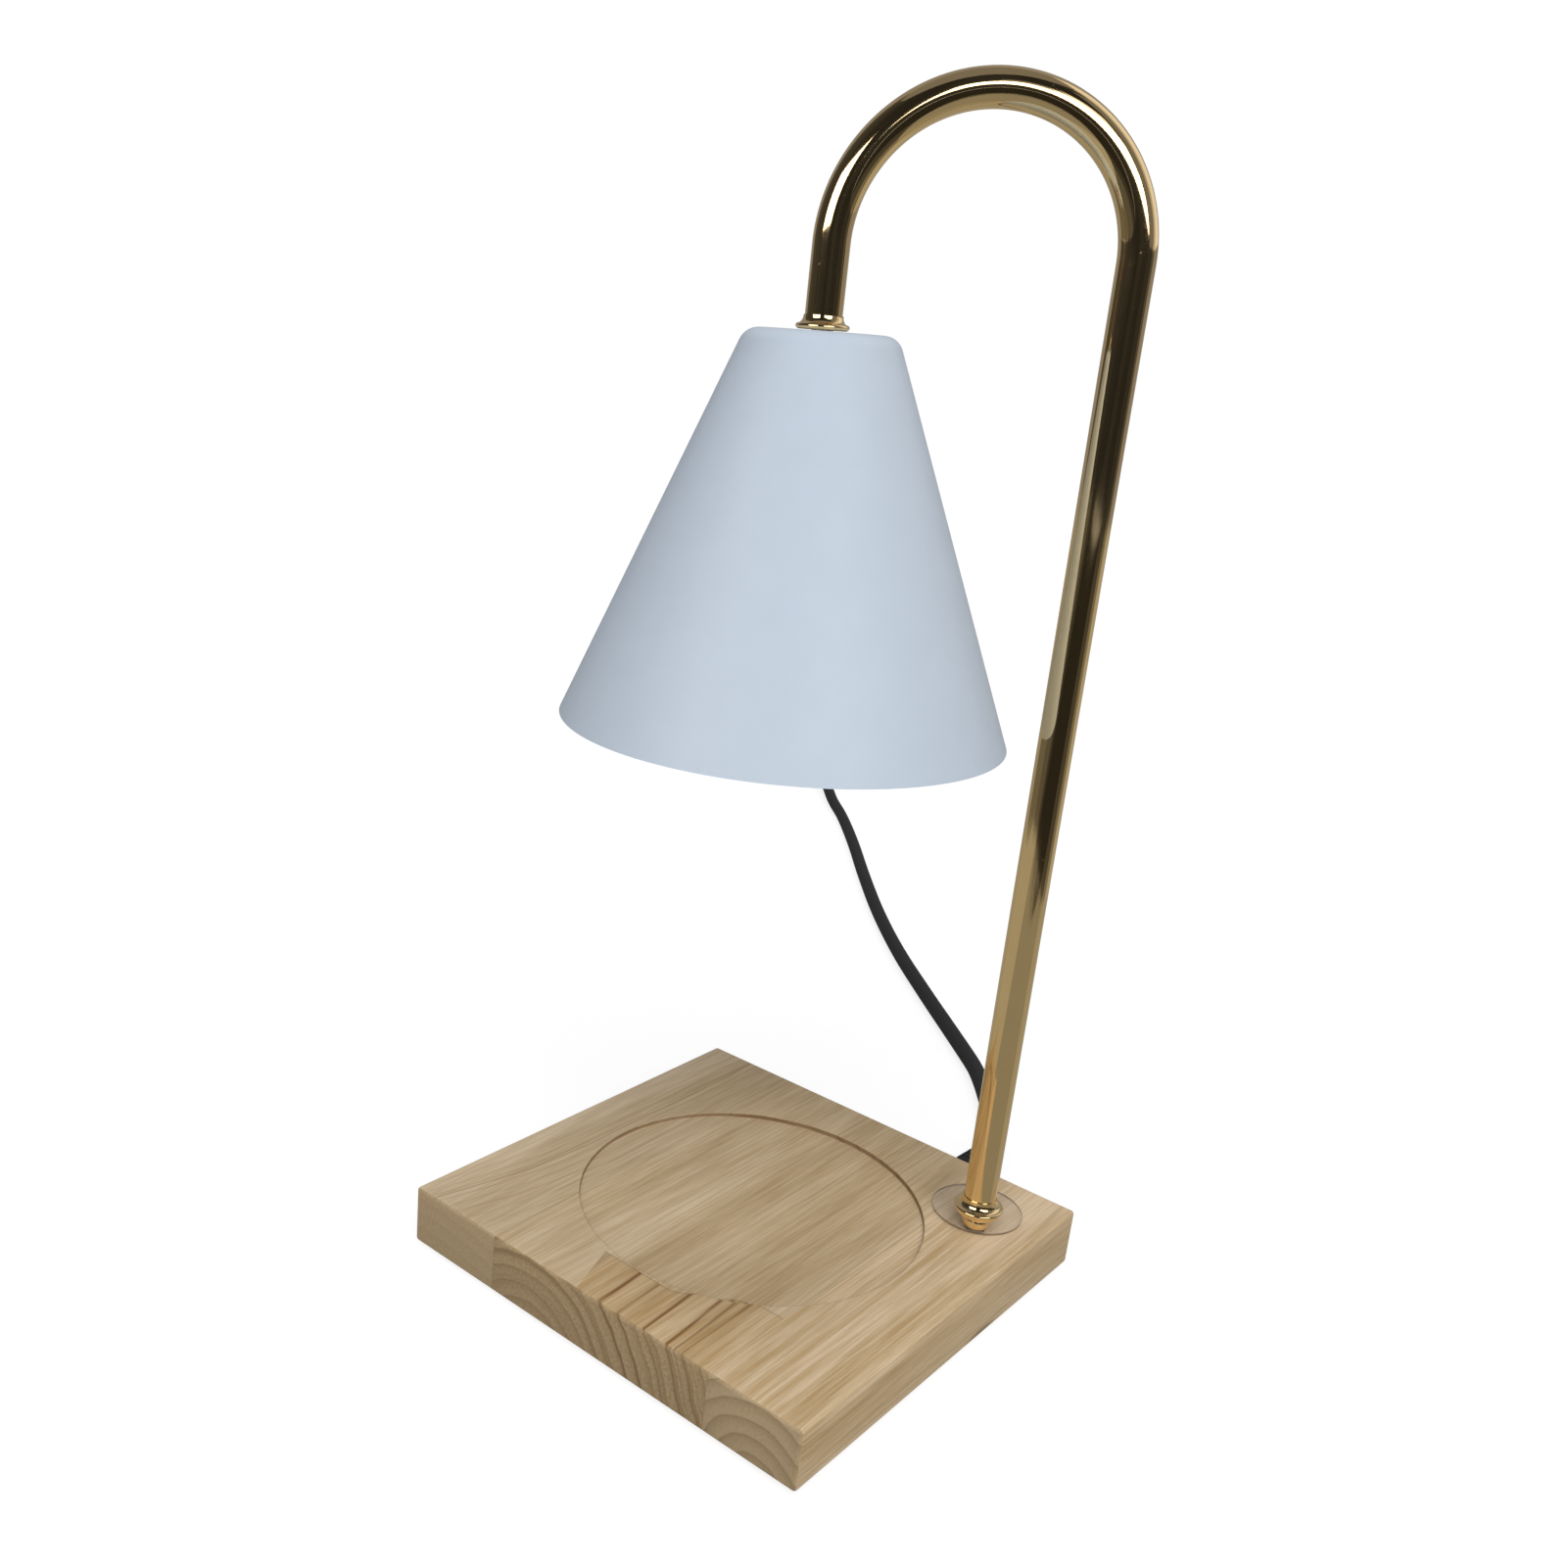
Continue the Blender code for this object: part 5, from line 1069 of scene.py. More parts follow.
@dataclass
class BulbHolder:
    """What hangs in the shade: the bent bracket and the lampholder's screws."""

    thickness: float = 1.2 * MM
    width: float = 12.0 * MM
    bend: float = 2.2 * MM
    cutter: float = 4.0 * MM

    def build(self) -> None:
        """Builds the bracket and the screws."""
        screws = {"holder_screw_1": -1, "holder_screw_2": 1}
        self.bracket(screws)
        for node, side in screws.items():
            box = Box(node)
            start = box.high.x if side < 0 else box.low.x
            cross_screw(node, shift(start, box.centre.y, box.centre.z) @ turn(90 * side, "Y"))

    def bracket(self, screws: Sequence[str]) -> None:
        """The strap, bent down at both ends with round bends, with a hole for the nipple and each screw."""
        box = Box("holder_bracket")
        half = self.thickness / 2
        reach, top, radius = box.radius - half, box.high.z - half, self.bend - half
        middle = (box.low.z + top) / 2
        corner = arc((reach - radius, top - radius), radius, 90, 0, 6)
        side = [*corner, (reach, middle), (reach, box.low.z)]
        path = [Vector((-x, 0, z)) for x, z in reversed(side)] + [Vector((x, 0, z)) for x, z in side]
        section = rounded_rectangle(self.width, self.thickness, 0.3 * MM, 3)
        strap = sweep("bent_bracket", path, section, Vector((1, 0, 0)), sharp=50)
        moved(strap, shift(box.centre.x, box.centre.y))
        tools = [rod("bracket_cutter", NIPPLE_HOLE, top - 2 * MM, top + 2 * MM, box.centre, 32)]
        for node in screws:
            hole = rod(f"{node}_way", SCREW_HOLE, -self.cutter, self.cutter)
            tools.append(moved(hole, shift(*Box(node).centre) @ turn(90, "Y")))
        fit(carve(strap, tools, sharp=50), ZINC, "holder_bracket")


@dataclass
class MainsCord:
    """The cord: its strain relief in the board, the free lead, the coil past the dimmer, and the tie."""

    radius: float = 3.1 * MM
    lift: float = 0.1 * MM
    switch_place: Point2 = (-0.3215, 0.4540)
    switch_heading: float = 150.0
    case_axis: float = 7.3 * MM
    sleeve_reach: float = 51.3 * MM
    coil_turns: float = 4.5
    coil_radius: float = 36.0 * MM
    coil_pitch: float = 6.8 * MM
    coil_lead: float = 26.0 * MM
    climb_turns: float = 0.5
    tail_length: float = 46.0 * MM
    plug_axis: float = 6.8 * MM
    tie_angle: float = -20.0
    tie_width: float = 6.0 * MM
    tie_thickness: float = 0.8 * MM
    point_gap: float = 3.0 * MM

    def __post_init__(self) -> None:
        """Works out the places that follow from the sizes."""
        self.floor = self.radius + self.lift
        heading = math.radians(self.switch_heading)
        self.way = Vector((math.cos(heading), math.sin(heading), 0))
        self.right = Vector((self.way.y, -self.way.x, 0))
        self.switch = Vector((*self.switch_place, 0))
        self.coil_low = self.floor + self.tie_thickness + GAP
        entry = self.switch + (self.sleeve_reach + self.coil_lead) * self.way
        self.coil_centre = entry + self.coil_radius * self.right
        self.start_angle = math.atan2(-self.right.y, -self.right.x)

    def route(self) -> list[Vector]:
        """The lead's points on the table, the same as the CAD source's."""
        floor = self.floor
        points = [
            (0.0247, 0.1055, 0.0066), (0.0209, 0.1140, 0.0044), (0.0152, 0.1232, floor),
            (0.0088, 0.1323, floor), (0.0020, 0.1414, floor), (-0.0052, 0.1506, floor),
            (-0.0123, 0.1588, floor), (-0.0198, 0.1659, floor), (-0.0399, 0.1839, floor),
            (-0.0622, 0.2038, floor), (-0.0960, 0.2350, floor), (-0.1300, 0.2700, floor),
            (-0.1640, 0.3085, floor), (-0.1980, 0.3485, floor), (-0.2290, 0.3830, floor),
            (-0.2500, 0.4030, 0.0042),
        ]
        return [Vector(point) for point in points]

    def free(self, start: Vector, way: Vector, between_points: Sequence[Vector], end: Vector, end_way: Vector
             ) -> list[Vector]:
        """A stretch that is straight for one diameter at each end and one smooth curve between.

        Args:
            start: Where it starts.
            way: The way it starts out.
            between_points: The points it passes through.
            end: Where it ends.
            end_way: The way it comes in.

        Returns:
            Points along it, both ends included.
        """
        thick = 2 * self.radius
        padded = [start, start + thick * way, *between_points, end - thick * end_way, end]
        fine: list[Vector] = []
        for a, b, c, d in zip(padded, padded[1:], padded[2:], padded[3:]):
            for share in (index / 24 for index in range(24)):
                square, cube = share ** 2, share ** 3
                fine.append((2 * cube - 3 * square + 1) * b + (cube - 2 * square + share) * (c - a) / 2
                            + (3 * square - 2 * cube) * c + (cube - square) * (d - b) / 2)
        fine.append(padded[-2])
        lengths = [0.0, *accumulate((two - one).length for one, two in zip(fine, fine[1:]))]
        count = max(2, round(lengths[-1] / self.point_gap))
        found, index = [start], 0
        for number in range(count + 1):
            wanted = lengths[-1] * number / count
            while index < len(lengths) - 2 and lengths[index + 1] < wanted:
                index += 1
            share = (wanted - lengths[index]) / max(1e-9, lengths[index + 1] - lengths[index])
            found.append(fine[index].lerp(fine[index + 1], min(1.0, share)))
        return [*found, end]

    @staticmethod
    def eased(path: Sequence[Vector]) -> list[Vector]:
        """The path with its small kinks eased, its first and last two points kept."""
        points = list(path)
        for _ in range(4):
            points[2:-2] = [(a + 2 * b + c) / 4 for a, b, c in zip(points[1:], points[2:], points[3:-1])]
        return points

    def coil_point(self, turns: float) -> Vector:
        """The coil's point after so many turns: inwards on the low layer, outwards on the high one."""
        inward = min(turns, self.coil_turns - turns)
        radius = self.coil_radius - self.coil_pitch * inward
        share = min(1.0, max(0.0, (turns - self.coil_turns / 2) / self.climb_turns + 0.5))
        height = self.coil_low + self.coil_pitch * share * share * (3 - 2 * share)
        angle = self.start_angle - math.tau * turns
        return self.coil_centre + Vector((radius * math.cos(angle), radius * math.sin(angle), height))

    def build(self) -> None:
        """Builds the relief, both stretches of cord, the dimmer, the plug and the tie."""
        self.board_relief()
        lead, rest = self.lead(), self.coiled_part()
        self.tie()
        RollerDimmer(self).build()
        Plug(self).build()

    def lead(self) -> tuple[Piece, list[Vector]]:
        """The free lead from the board to the dimmer, and its path."""
        relief = Box("cord_relief")
        start = Vector((relief.centre.x, relief.high.y + GAP, relief.centre.z))
        end = self.switch - (self.sleeve_reach + GAP) * self.way
        end.z = self.case_axis
        path = self.eased(self.free(start, Vector((0, 1, 0)), self.route(), end, self.way))
        piece = curve_piece("lead_cord", path, self.radius)
        fit(piece, JACKET, "cord_lead")
        return piece, path

    def coiled_part(self) -> tuple[Piece, list[Vector]]:
        """The cord past the dimmer in one piece, link, coil and tail, and its path."""
        thick = 2 * self.radius
        start = self.switch + (self.sleeve_reach + GAP) * self.way
        start.z = self.case_axis
        entry = self.coil_point(0) - thick * self.way
        link = self.free(start, self.way, [], entry - GAP * self.way, self.way)
        steps = round(self.coil_turns * 64)
        loops = [self.coil_point(self.coil_turns * step / steps) for step in range(steps + 1)]
        angle = self.start_angle - math.tau * self.coil_turns
        self.heading = Vector((math.sin(angle), -math.cos(angle), 0))
        leave = loops[-1] + thick * self.heading
        tail_start = leave + GAP * self.heading
        self.plug_tip = tail_start + self.tail_length * self.heading
        self.plug_tip.z = self.plug_axis
        tail = self.free(tail_start, self.heading, [], self.plug_tip, self.heading)
        path = self.eased([*link, entry, *loops, leave, *tail])
        piece = curve_piece("coiled_cord", path, self.radius)
        fit(piece, JACKET, "cord_link", "cord_coil", "cord_tail")
        return piece, path

    def board_relief(self) -> None:
        """The strain relief in the board's back edge: flange, taper and rings of slots."""
        box = Box("cord_relief")
        inside, tip = box.low.y, box.high.y
        back = Box("base_board").high.y + GAP
        bore, flange, inner_flange, neck = self.radius + GAP, 5.6 * MM, 4.6 * MM, 4.0 * MM
        profile = [
            (bore, tip), *taper(back + 1.2 * MM, tip, inner_flange, 3.9 * MM, bore + 0.15 * MM),
            (flange - 0.2 * MM, back + 1.2 * MM), (flange, back + MM), (flange, back), (neck, back),
            (neck, inside + 1.2 * MM), (inner_flange, inside + 1.2 * MM), (inner_flange, inside),
            (bore, inside),
        ]
        piece = lathe("board_relief", profile, sides=48, sharp=35)
        fit(moved(piece, shift(box.centre.x, 0, box.centre.z) @ turn(-90, "X")), RUBBER, "cord_relief")

    def tie(self) -> None:
        """The strap round the turns, a flat rounded loop."""
        box = Box("cord_tie")
        inner = self.coil_radius - self.coil_pitch * self.coil_turns / 2 - self.radius - GAP
        outer = self.coil_radius + self.radius + GAP
        thick = self.tie_thickness
        outline = rounded_rectangle(outer - inner + thick, box.size.z - thick, 1.6 * MM)
        section = rounded_rectangle(self.tie_width, thick, 0.25 * MM, 2)
        loop = [Vector((x, 0, z)) for x, z in outline]
        strap = sweep("coil_tie", loop, section, Vector((1, 0, 0)), looped=True, sharp=50)
        place = (shift(self.coil_centre.x, self.coil_centre.y, box.centre.z) @ turn(self.tie_angle, "Z")
                 @ shift((inner + outer) / 2))
        fit(moved(strap, place), RUBBER, "cord_tie")


def taper(start: float, end: float, root: float, tip: float, core: float = 0.0, slots: int = 6) -> list[Point2]:
    """The outer side of a tapered sleeve, from its tip to its root, with slots round it.

    Args:
        start: Where the taper's root is, along the sleeve.
        end: Where its tip is.
        root: The radius at the root.
        tip: The radius at the tip.
        core: The least radius that the slots leave.
        slots: How many slots it has.

    Returns:
        The (radius, place) points from tip to root.
    """
    length = end - start
    half = length / (slots + 1) * 0.20
    points = [(tip - 0.2 * MM, end), (tip, end - 0.3 * MM)]
    for slot in range(slots, 0, -1):
        share = slot / (slots + 1)
        radius, place = root + (tip - root) * share, start + length * share
        floor = max(core, radius - 0.5 * MM)
        points += [(radius, place + half), (floor, place + half * 0.7), (floor, place - half * 0.7),
                   (radius, place - half)]
    return [*points, (root, start)]


@dataclass
class RollerDimmer:
    """The inline dimmer: two shells, the ridged roller between them, and a ribbed sleeve at each end."""

    cord: MainsCord
    length: float = 62.0 * MM
    width: float = 26.0 * MM
    height: float = 17.0 * MM
    wall: float = 1.8 * MM
    corner: float = 7.0 * MM
    inner_corner: float = 5.2 * MM
    edge: float = 3.2 * MM
    inner_edge: float = 1.6 * MM
    wheel_radius: float = 7.8 * MM
    wheel_width: float = 6.0 * MM
    ridges: int = 36
    ridge: float = 0.45 * MM
    axle_half: float = 9.0 * MM
    sleeve: float = 20.0 * MM
    sleeve_radii: Point2 = (4.2 * MM, 3.4 * MM)
    sleeve_neck: float = 3.1 * MM
    screw_place: float = 22.0 * MM
    screw_recess: Point2 = (2.5 * MM, 1.5 * MM)
    ear_place: float = 4.6 * MM
    ear_half: Point2 = (2.5 * MM, 1.0 * MM)
    ear_rise: float = 2.2 * MM
    window_room: float = 1.2 * MM
    dish_radius: float = 11.5 * MM
    dish_rise: float = 0.9 * MM
    dish_stretch: tuple[float, float, float, float] = (1.25, 0.85, 0.17, 1)
    far: float = 5.0 * MM

    def build(self) -> None:
        """Builds the shells, the roller, the sleeves and the screws."""
        self.place = shift(*self.cord.switch) @ turn(self.cord.switch_heading, "Z")
        self.bottom = self.cord.lift
        self.top = self.bottom + self.height
        self.wheel_height = Box("dimmer_wheel").centre.z
        self.lower_shell()
        self.upper_shell()
        self.roller()
        for name, side in (("dimmer_sleeve_in", -1), ("dimmer_sleeve_out", 1)):
            self.ribbed_sleeve(name, side)
        for node in ("case_screw_1", "case_screw_2"):
            cross_screw(node)

    def half_case(self, name: str, low: float, high: float, more: Sequence[Piece] = ()) -> Piece:
        """The rounded case, hollowed, with its sleeves' holes and without what lies between two heights.

        Args:
            name: The piece's name.
            low: Where the part that goes starts.
            high: Where it ends.
            more: Other tools that cut it.

        Returns:
            The shell.
        """
        half, wall = self.length / 2, self.wall
        shell = soft_box(name, (self.length, self.width), self.corner, self.bottom, self.top, self.edge)
        tools = [
            soft_box("shell_hollow", (self.length - 2 * wall, self.width - 2 * wall), self.inner_corner,
                     self.bottom + wall, self.top - wall, self.inner_edge),
            block("other_half", (0, 0), (half + self.far, self.width / 2 + self.far), low, high),
            *more,
        ]
        for side in (-1, 1):
            hole = rod("sleeve_hole", self.sleeve_radii[1], -6 * MM, 6 * MM, sides=32)
            tools.append(moved(hole, shift(side * half, 0, self.cord.case_axis) @ turn(90, "Y")))
        return carve(shell, tools, sharp=30)

    def lower_shell(self) -> None:
        """The lower shell, with two ears for the axle and two screw holes."""
        shell = self.half_case("dimmer_lower_shell", self.cord.case_axis, self.top + self.far)
        ears = [block("ear", (0, side * self.ear_place), self.ear_half, self.bottom + MM,
                      self.wheel_height + self.ear_rise) for side in (-1, 1)]
        carve(shell, ears, "UNION", sharp=30)
        head, under = self.screw_recess[0], self.bottom - MM
        sunk, through = self.bottom + self.screw_recess[1], self.bottom + 2 * self.screw_recess[1]
        screw_way = [(0, under), (head, under), (head, sunk), (SCREW_HOLE, sunk), (SCREW_HOLE, through),
                     (0, through)]
        tools = [lathe("screw_way", screw_way, (side * self.screw_place, 0), 24) for side in (-1, 1)]
        axle = rod("axle_way", AXLE_HOLE, -self.axle_half, self.axle_half)
        tools.append(moved(axle, shift(z=self.wheel_height) @ turn(90, "X")))
        carve(shell, tools, sharp=30)
        fit(moved(shell, self.place), MOULDING, "dimmer_case_lower")

    def upper_shell(self) -> None:
        """The upper shell, with the roller's window in a dish for the thumb."""
        room = self.window_room
        outline = rounded_rectangle(2 * self.wheel_radius, self.wheel_width + room, room, 4)
        window = plate("roller_window", outline, self.top - 4 * MM, self.top + MM)
        dish = lathe("thumb_dish", arc((0, 0), self.dish_radius, -90, 90, 24), sides=48)
        moved(dish, shift(z=self.top + self.dish_rise) @ Matrix.Diagonal(self.dish_stretch))
        split = self.cord.case_axis + GAP
        shell = self.half_case("dimmer_upper_shell", self.bottom - self.far, split, [window, dish])
        fit(moved(shell, self.place), MOULDING, "dimmer_case_upper")

    def roller(self) -> None:
        """The roller with fine ridges round it, its edges eased, on its axle's bore."""
        half, ease = self.wheel_width / 2, 0.5 * MM
        rings = []
        for place, share in ((-half, 0.86), (ease - half, 1.0), (half - ease, 1.0), (half, 0.86)):
            ring = []
            for step in range(4 * self.ridges):
                angle = math.tau * step / (4 * self.ridges)
                radius = self.wheel_radius * share - (self.ridge if step % 4 > 1 and share == 1.0 else 0)
                ring.append((radius * math.cos(angle), place, radius * math.sin(angle)))
            rings.append(ring)
        roller = loft("dimmer_roller", rings, sharp=30)
        bore = moved(rod("roller_bore", AXLE_HOLE, -self.axle_half, self.axle_half), turn(90, "X"))
        carve(roller, [bore], sharp=30)
        fit(moved(roller, self.place @ shift(z=self.wheel_height)), MOULDING, "dimmer_wheel", body=Body.WHEEL)

    def ribbed_sleeve(self, name: str, side: int) -> None:
        """A tapered sleeve with slots round it, and its flange inside the case."""
        outside = self.length / 2 + GAP
        inside = self.length / 2 - self.wall - GAP
        (root, tip), neck = self.sleeve_radii, self.sleeve_neck
        profile = [
            (0, outside + self.sleeve), *taper(outside, outside + self.sleeve, root, tip),
            (neck, outside), (neck, inside), (root, inside), (root, inside - self.wall),
            (0, inside - self.wall),
        ]
        sleeve = lathe(f"{name}_ribbed", profile, sides=40, sharp=35)
        fit(moved(sleeve, self.place @ shift(z=self.cord.case_axis) @ turn(90 * side, "Y")), RUBBER, name)


@dataclass
class Plug:
    """The two-blade mains plug with its ribbed sleeve, side grips and punched blades."""

    cord: MainsCord
    length: float = 27.0 * MM
    width: float = 24.0 * MM
    height: float = 13.4 * MM
    sleeve: float = 20.0 * MM
    sleeve_radii: Point2 = (4.2 * MM, 3.4 * MM)
    lap: float = 1.0 * MM
    narrow: float = 0.72
    blade_half: float = 3.15 * MM
    blade_thick: float = 0.75 * MM
    blade_spacing: float = 12.7 * MM
    blade_length: float = 17.0 * MM
    blade_root: float = 4.0 * MM
    blade_hole: float = 1.6 * MM
    hole_place: float = 5.0 * MM
    grip_half: Point2 = (0.6 * MM, 2.25 * MM)
    grip_tall: float = 4.2 * MM
    grip_depth: float = 0.5 * MM
    grip_lean: float = 0.35 * MM
    grip_start: float = 0.22
    grip_step: float = 0.11

    def build(self) -> None:
        """Builds the sleeve, the body and the blades."""
        heading = self.cord.heading
        tip = self.cord.plug_tip + GAP * heading
        place = shift(*tip) @ Matrix.Rotation(math.atan2(heading.y, heading.x), 4, "Z")
        self.back = self.sleeve + GAP
        self.front = self.back + self.length
        reach = self.sleeve + self.lap
        side = [(radius, -along) for radius, along in reversed(taper(0.0, reach, *self.sleeve_radii))]
        sleeve = lathe("plug_sleeve_ribbed", [(0, 0), *side, (0, -reach)], sides=40, sharp=35)
        fit(moved(sleeve, place @ shift(self.sleeve) @ turn(90, "Y")), RUBBER, "plug_sleeve")
        self.body(place)
        for number, side_y in ((1, -1), (2, 1)):
            self.blade(f"plug_blade_{number}", place @ shift(y=side_y * self.blade_spacing / 2) @ turn(90, "X"))

    def body(self, place: Matrix) -> None:
        """The moulded body: narrow at the cord, broad at the face, with grip ribs on its sides."""
        rings = []
        for share, spread in ((0.0, 0.50), (0.04, 0.62), (0.14, 0.70), (0.30, 0.74), (0.48, 0.80), (0.62, 0.90),
                              (0.74, 0.98), (0.86, 1.0), (0.97, 1.0), (1.0, 0.955)):
            squeeze = 0.55 + 0.45 * min(1.0, share * 4) if share < 0.25 else 1.0
            tall = self.height * (squeeze if share < 1.0 else 0.93)
            outline = rounded_rectangle(self.width * spread, tall, min(4.0 * MM, tall * 0.42), 6)
            rings.append([(self.back + self.length * share, y, z) for y, z in outline])
        shell = loft("plug_shell", rings, sharp=50)
        tools = []
        flank = self.width * self.narrow / 2 + self.grip_half[1] - self.grip_depth
        for side in (-1, 1):
            for step in range(4):
                along = self.length * (self.grip_start + self.grip_step * step)
                at = (self.back + along, side * (flank + self.grip_lean * step))
                tools.append(block("grip", at, self.grip_half, -self.grip_tall, self.grip_tall, 0.3 * MM))
            root, tall = self.blade_root + GAP, self.blade_half + GAP
            at = (self.front + (MM - root) / 2, side * self.blade_spacing / 2)
            tools.append(block("blade_way", at, ((MM + root) / 2, self.blade_thick + GAP), -tall, tall))
        carve(shell, tools, sharp=45)
        fit(moved(shell, place), MOULDING, "plug_body")

    def blade(self, node: str, place: Matrix) -> None:
        """A brass blade with a chamfered tip and a punched hole."""
        tip, root, half = self.front + self.blade_length, self.front - self.blade_root, self.blade_half
        side = [(root, half), (tip - 2 * MM, half), (tip - 0.5 * MM, half - 1.2 * MM), (tip, half - 2 * MM)]
        outline = [(x, -y) for x, y in side] + side[::-1]
        blade = plate(f"{node}_punched", outline, -self.blade_thick, self.blade_thick, 0.2 * MM)
        carve(blade, [rod("blade_hole", self.blade_hole, -MM, MM, (tip - self.hole_place, 0), 32)])
        fit(moved(blade, place), BRASS, node)


@dataclass
class CarriedNodes:
    """The CAD nodes whose shapes stay, each with its finish and soft shading."""

    smooth_angle: float = math.radians(32)

    def build(self) -> None:
        """Dresses every CAD node that no piece stands for."""
        finishes = {finish.slot: finish for finish in CARRIED}
        slots = {row["node"]: row["material_slot"] for row in frame["record"]["subparts"]}
        group = self.soft_shading()
        for name, node in frame["nodes"].items():
            if node.hide_render:
                continue
            node.data.materials.clear()
            node.data.materials.append(finishes[slots[name]].material())
            node.modifiers.new("soft_shading", "NODES").node_group = group
            LOG.info("%s stays as the frame has it, in %s", name, slots[name])

    def soft_shading(self) -> bpy.types.GeometryNodeTree:
        """A modifier's node group that shades faces smoothly but for sharp edges."""
        group = bpy.data.node_groups.new("soft_shading", "GeometryNodeTree")
        for way in ("INPUT", "OUTPUT"):
            group.interface.new_socket("Geometry", in_out=way, socket_type="NodeSocketGeometry")
        recipe = Recipe(group)
        angle = recipe.node("GeometryNodeInputMeshEdgeAngle", {}, {})
        compare = {"data_type": "FLOAT", "operation": "LESS_THAN"}
        soft = recipe.node("FunctionNodeCompare", compare, {0: angle, 1: self.smooth_angle})
        source = recipe.node("NodeGroupInput", {}, {})
        faces = recipe.node("GeometryNodeSetShadeSmooth", {}, {0: source})
        edges = recipe.node("GeometryNodeSetShadeSmooth", {"domain": "EDGE"}, {0: faces, "Shade Smooth": soft})
        recipe.feed(group.nodes.new("NodeGroupOutput").inputs[0], edges)
        return group


@dataclass
class Studio:
    """The camera at the photograph's viewing angle, the pale floor, the light, and what metal mirrors."""

    azimuth: float = 41.07
    elevation: float = 18.42
    roll: float = 4.26
    distance: float = 437.31 * MM
    target: Vector = Vector((-52.59 * MM, -7.6 * MM, 123.11 * MM))
    lens: float = 34.11
    shift: Point2 = (0.0993, 0.0282)
    sky: float = 0.32
    sun_turn: tuple[float, float, float] = (42, 0, 43.07)
    sun_power: float = 1.92
    sun_width: float = 50.0
    floor_half: float = 6.0
    floor_grey: float = 0.50
    floor_glow: float = 1.82
    floor_share: float = 0.45
    room: float = 2.6
    room_height: float = 5.0
    near_ground: float = 0.43
    ground_height: float = 0.4 * MM
    room_tint: Colour = (1.0, 0.97, 0.93)
    ground_tint: Colour = (1.0, 0.95, 0.80)

    def camera(self) -> None:
        """Makes the camera and gives it to the scene."""
        data = bpy.data.cameras.new("photo_camera")
        data.sensor_width = 36.0
        data.lens = self.lens
        data.shift_x, data.shift_y = self.shift
        data.clip_start, data.clip_end = 0.01, 100.0
        side, rise, lean = (math.radians(angle) for angle in (self.azimuth, self.elevation, self.roll))
        back = Vector((math.sin(side) * math.cos(rise), -math.cos(side) * math.cos(rise), math.sin(rise)))
        level = (-back).cross(Vector((0, 0, 1))).normalized()
        upright = level.cross(-back)
        right = level * math.cos(lean) + upright * math.sin(lean)
        up = upright * math.cos(lean) - level * math.sin(lean)
        matrix = Matrix((right, up, back)).transposed().to_4x4()
        matrix.translation = self.target + back * self.distance
        camera = placed_object("photo_camera", data)
        camera.matrix_world = matrix
        bpy.context.scene.camera = camera

    def build(self) -> None:
        """Makes the floor, the sky, the sun and the cards."""
        bpy.context.scene.view_settings.view_transform = "Standard"
        self.floor()
        self.world()
        self.sun()
        self.cards()

    @staticmethod
    def flat(name: str, corners: Sequence[Vector]) -> tuple[Piece, Recipe]:
        """A flat sheet with an empty material, and its recipe."""
        bm = bmesh.new()
        bm.faces.new([bm.verts.new(corner) for corner in corners])
        sheet = finished_mesh(name, bm)
        material, recipe = new_material(name)
        sheet.data.materials.append(material)
        return sheet, recipe

    def floor(self) -> None:
        """A floor that keeps the object's shadow: grey as a surface, with a glow that only the eye sees."""
        half = self.floor_half
        corners = [Vector((x * half, y * half, 0)) for x, y in ((-1, -1), (1, -1), (1, 1), (-1, 1))]
        floor, recipe = self.flat("studio_floor", corners)
        diffuse = recipe.node("ShaderNodeBsdfDiffuse", {}, {"Color": (self.floor_grey,) * 3})
        glow = recipe.node("ShaderNodeEmission", {}, {"Strength": self.floor_glow})
        share = recipe.rays("Camera", "Transmission") * self.floor_share
        recipe.surface(recipe.node("ShaderNodeMixShader", {}, {0: share, 1: diffuse, 2: glow}))

    def world(self) -> None:
        """A white sky: full strength where it is seen or mirrored, softer as light."""
        world = bpy.data.worlds.new("studio_sky")
        bpy.context.scene.world = world
        world.use_nodes = True
        recipe = Recipe(world.node_tree)
        background = world.node_tree.nodes["Background"]
        recipe.feed(background.inputs["Color"], (1.0, 1.0, 1.0))
        strength = recipe.rays("Camera", "Glossy", "Transmission").spread(self.sky, 1.0)
        recipe.feed(background.inputs["Strength"], strength)

    def sun(self) -> None:
        """A soft sun that mirrors don't see."""
        data = bpy.data.lights.new("key_sun", "SUN")
        data.energy = self.sun_power
        data.angle = math.radians(self.sun_width)
        lamp = placed_object("key_sun", data)
        lamp.visible_glossy = False
        lamp.rotation_euler = [math.radians(value) for value in self.sun_turn]

    def card(self, name: str, corners: Sequence[Vector], brightness: float, tint: Colour) -> None:
        """A card that only mirrors see: dark to give polished metal its lines, or bright like a window."""
        card, recipe = self.flat(name, corners)
        recipe.surface(recipe.node("ShaderNodeEmission", {}, {"Color": tint, "Strength": brightness}))
        for rays in ("camera", "diffuse", "shadow", "transmission"):
            setattr(card, f"visible_{rays}", False)

    def spot(self, azimuth: float, distance: float, height: float) -> Vector:
        """A spot in the room, by its azimuth in degrees from the camera's side."""
        angle = math.radians(self.azimuth + azimuth)
        return Vector((math.sin(angle) * distance, -math.cos(angle) * distance, height))

    def wall(self, name: str, start: float, end: float, brightness: float, distance: float,
             heights: Point2) -> None:
        """An upright card between two azimuths and two heights."""
        low, high = heights
        corners = [self.spot(*spot) for spot in ((start, distance, low), (end, distance, low),
                                                 (end, distance, high), (start, distance, high))]
        self.card(name, corners, brightness, self.room_tint)

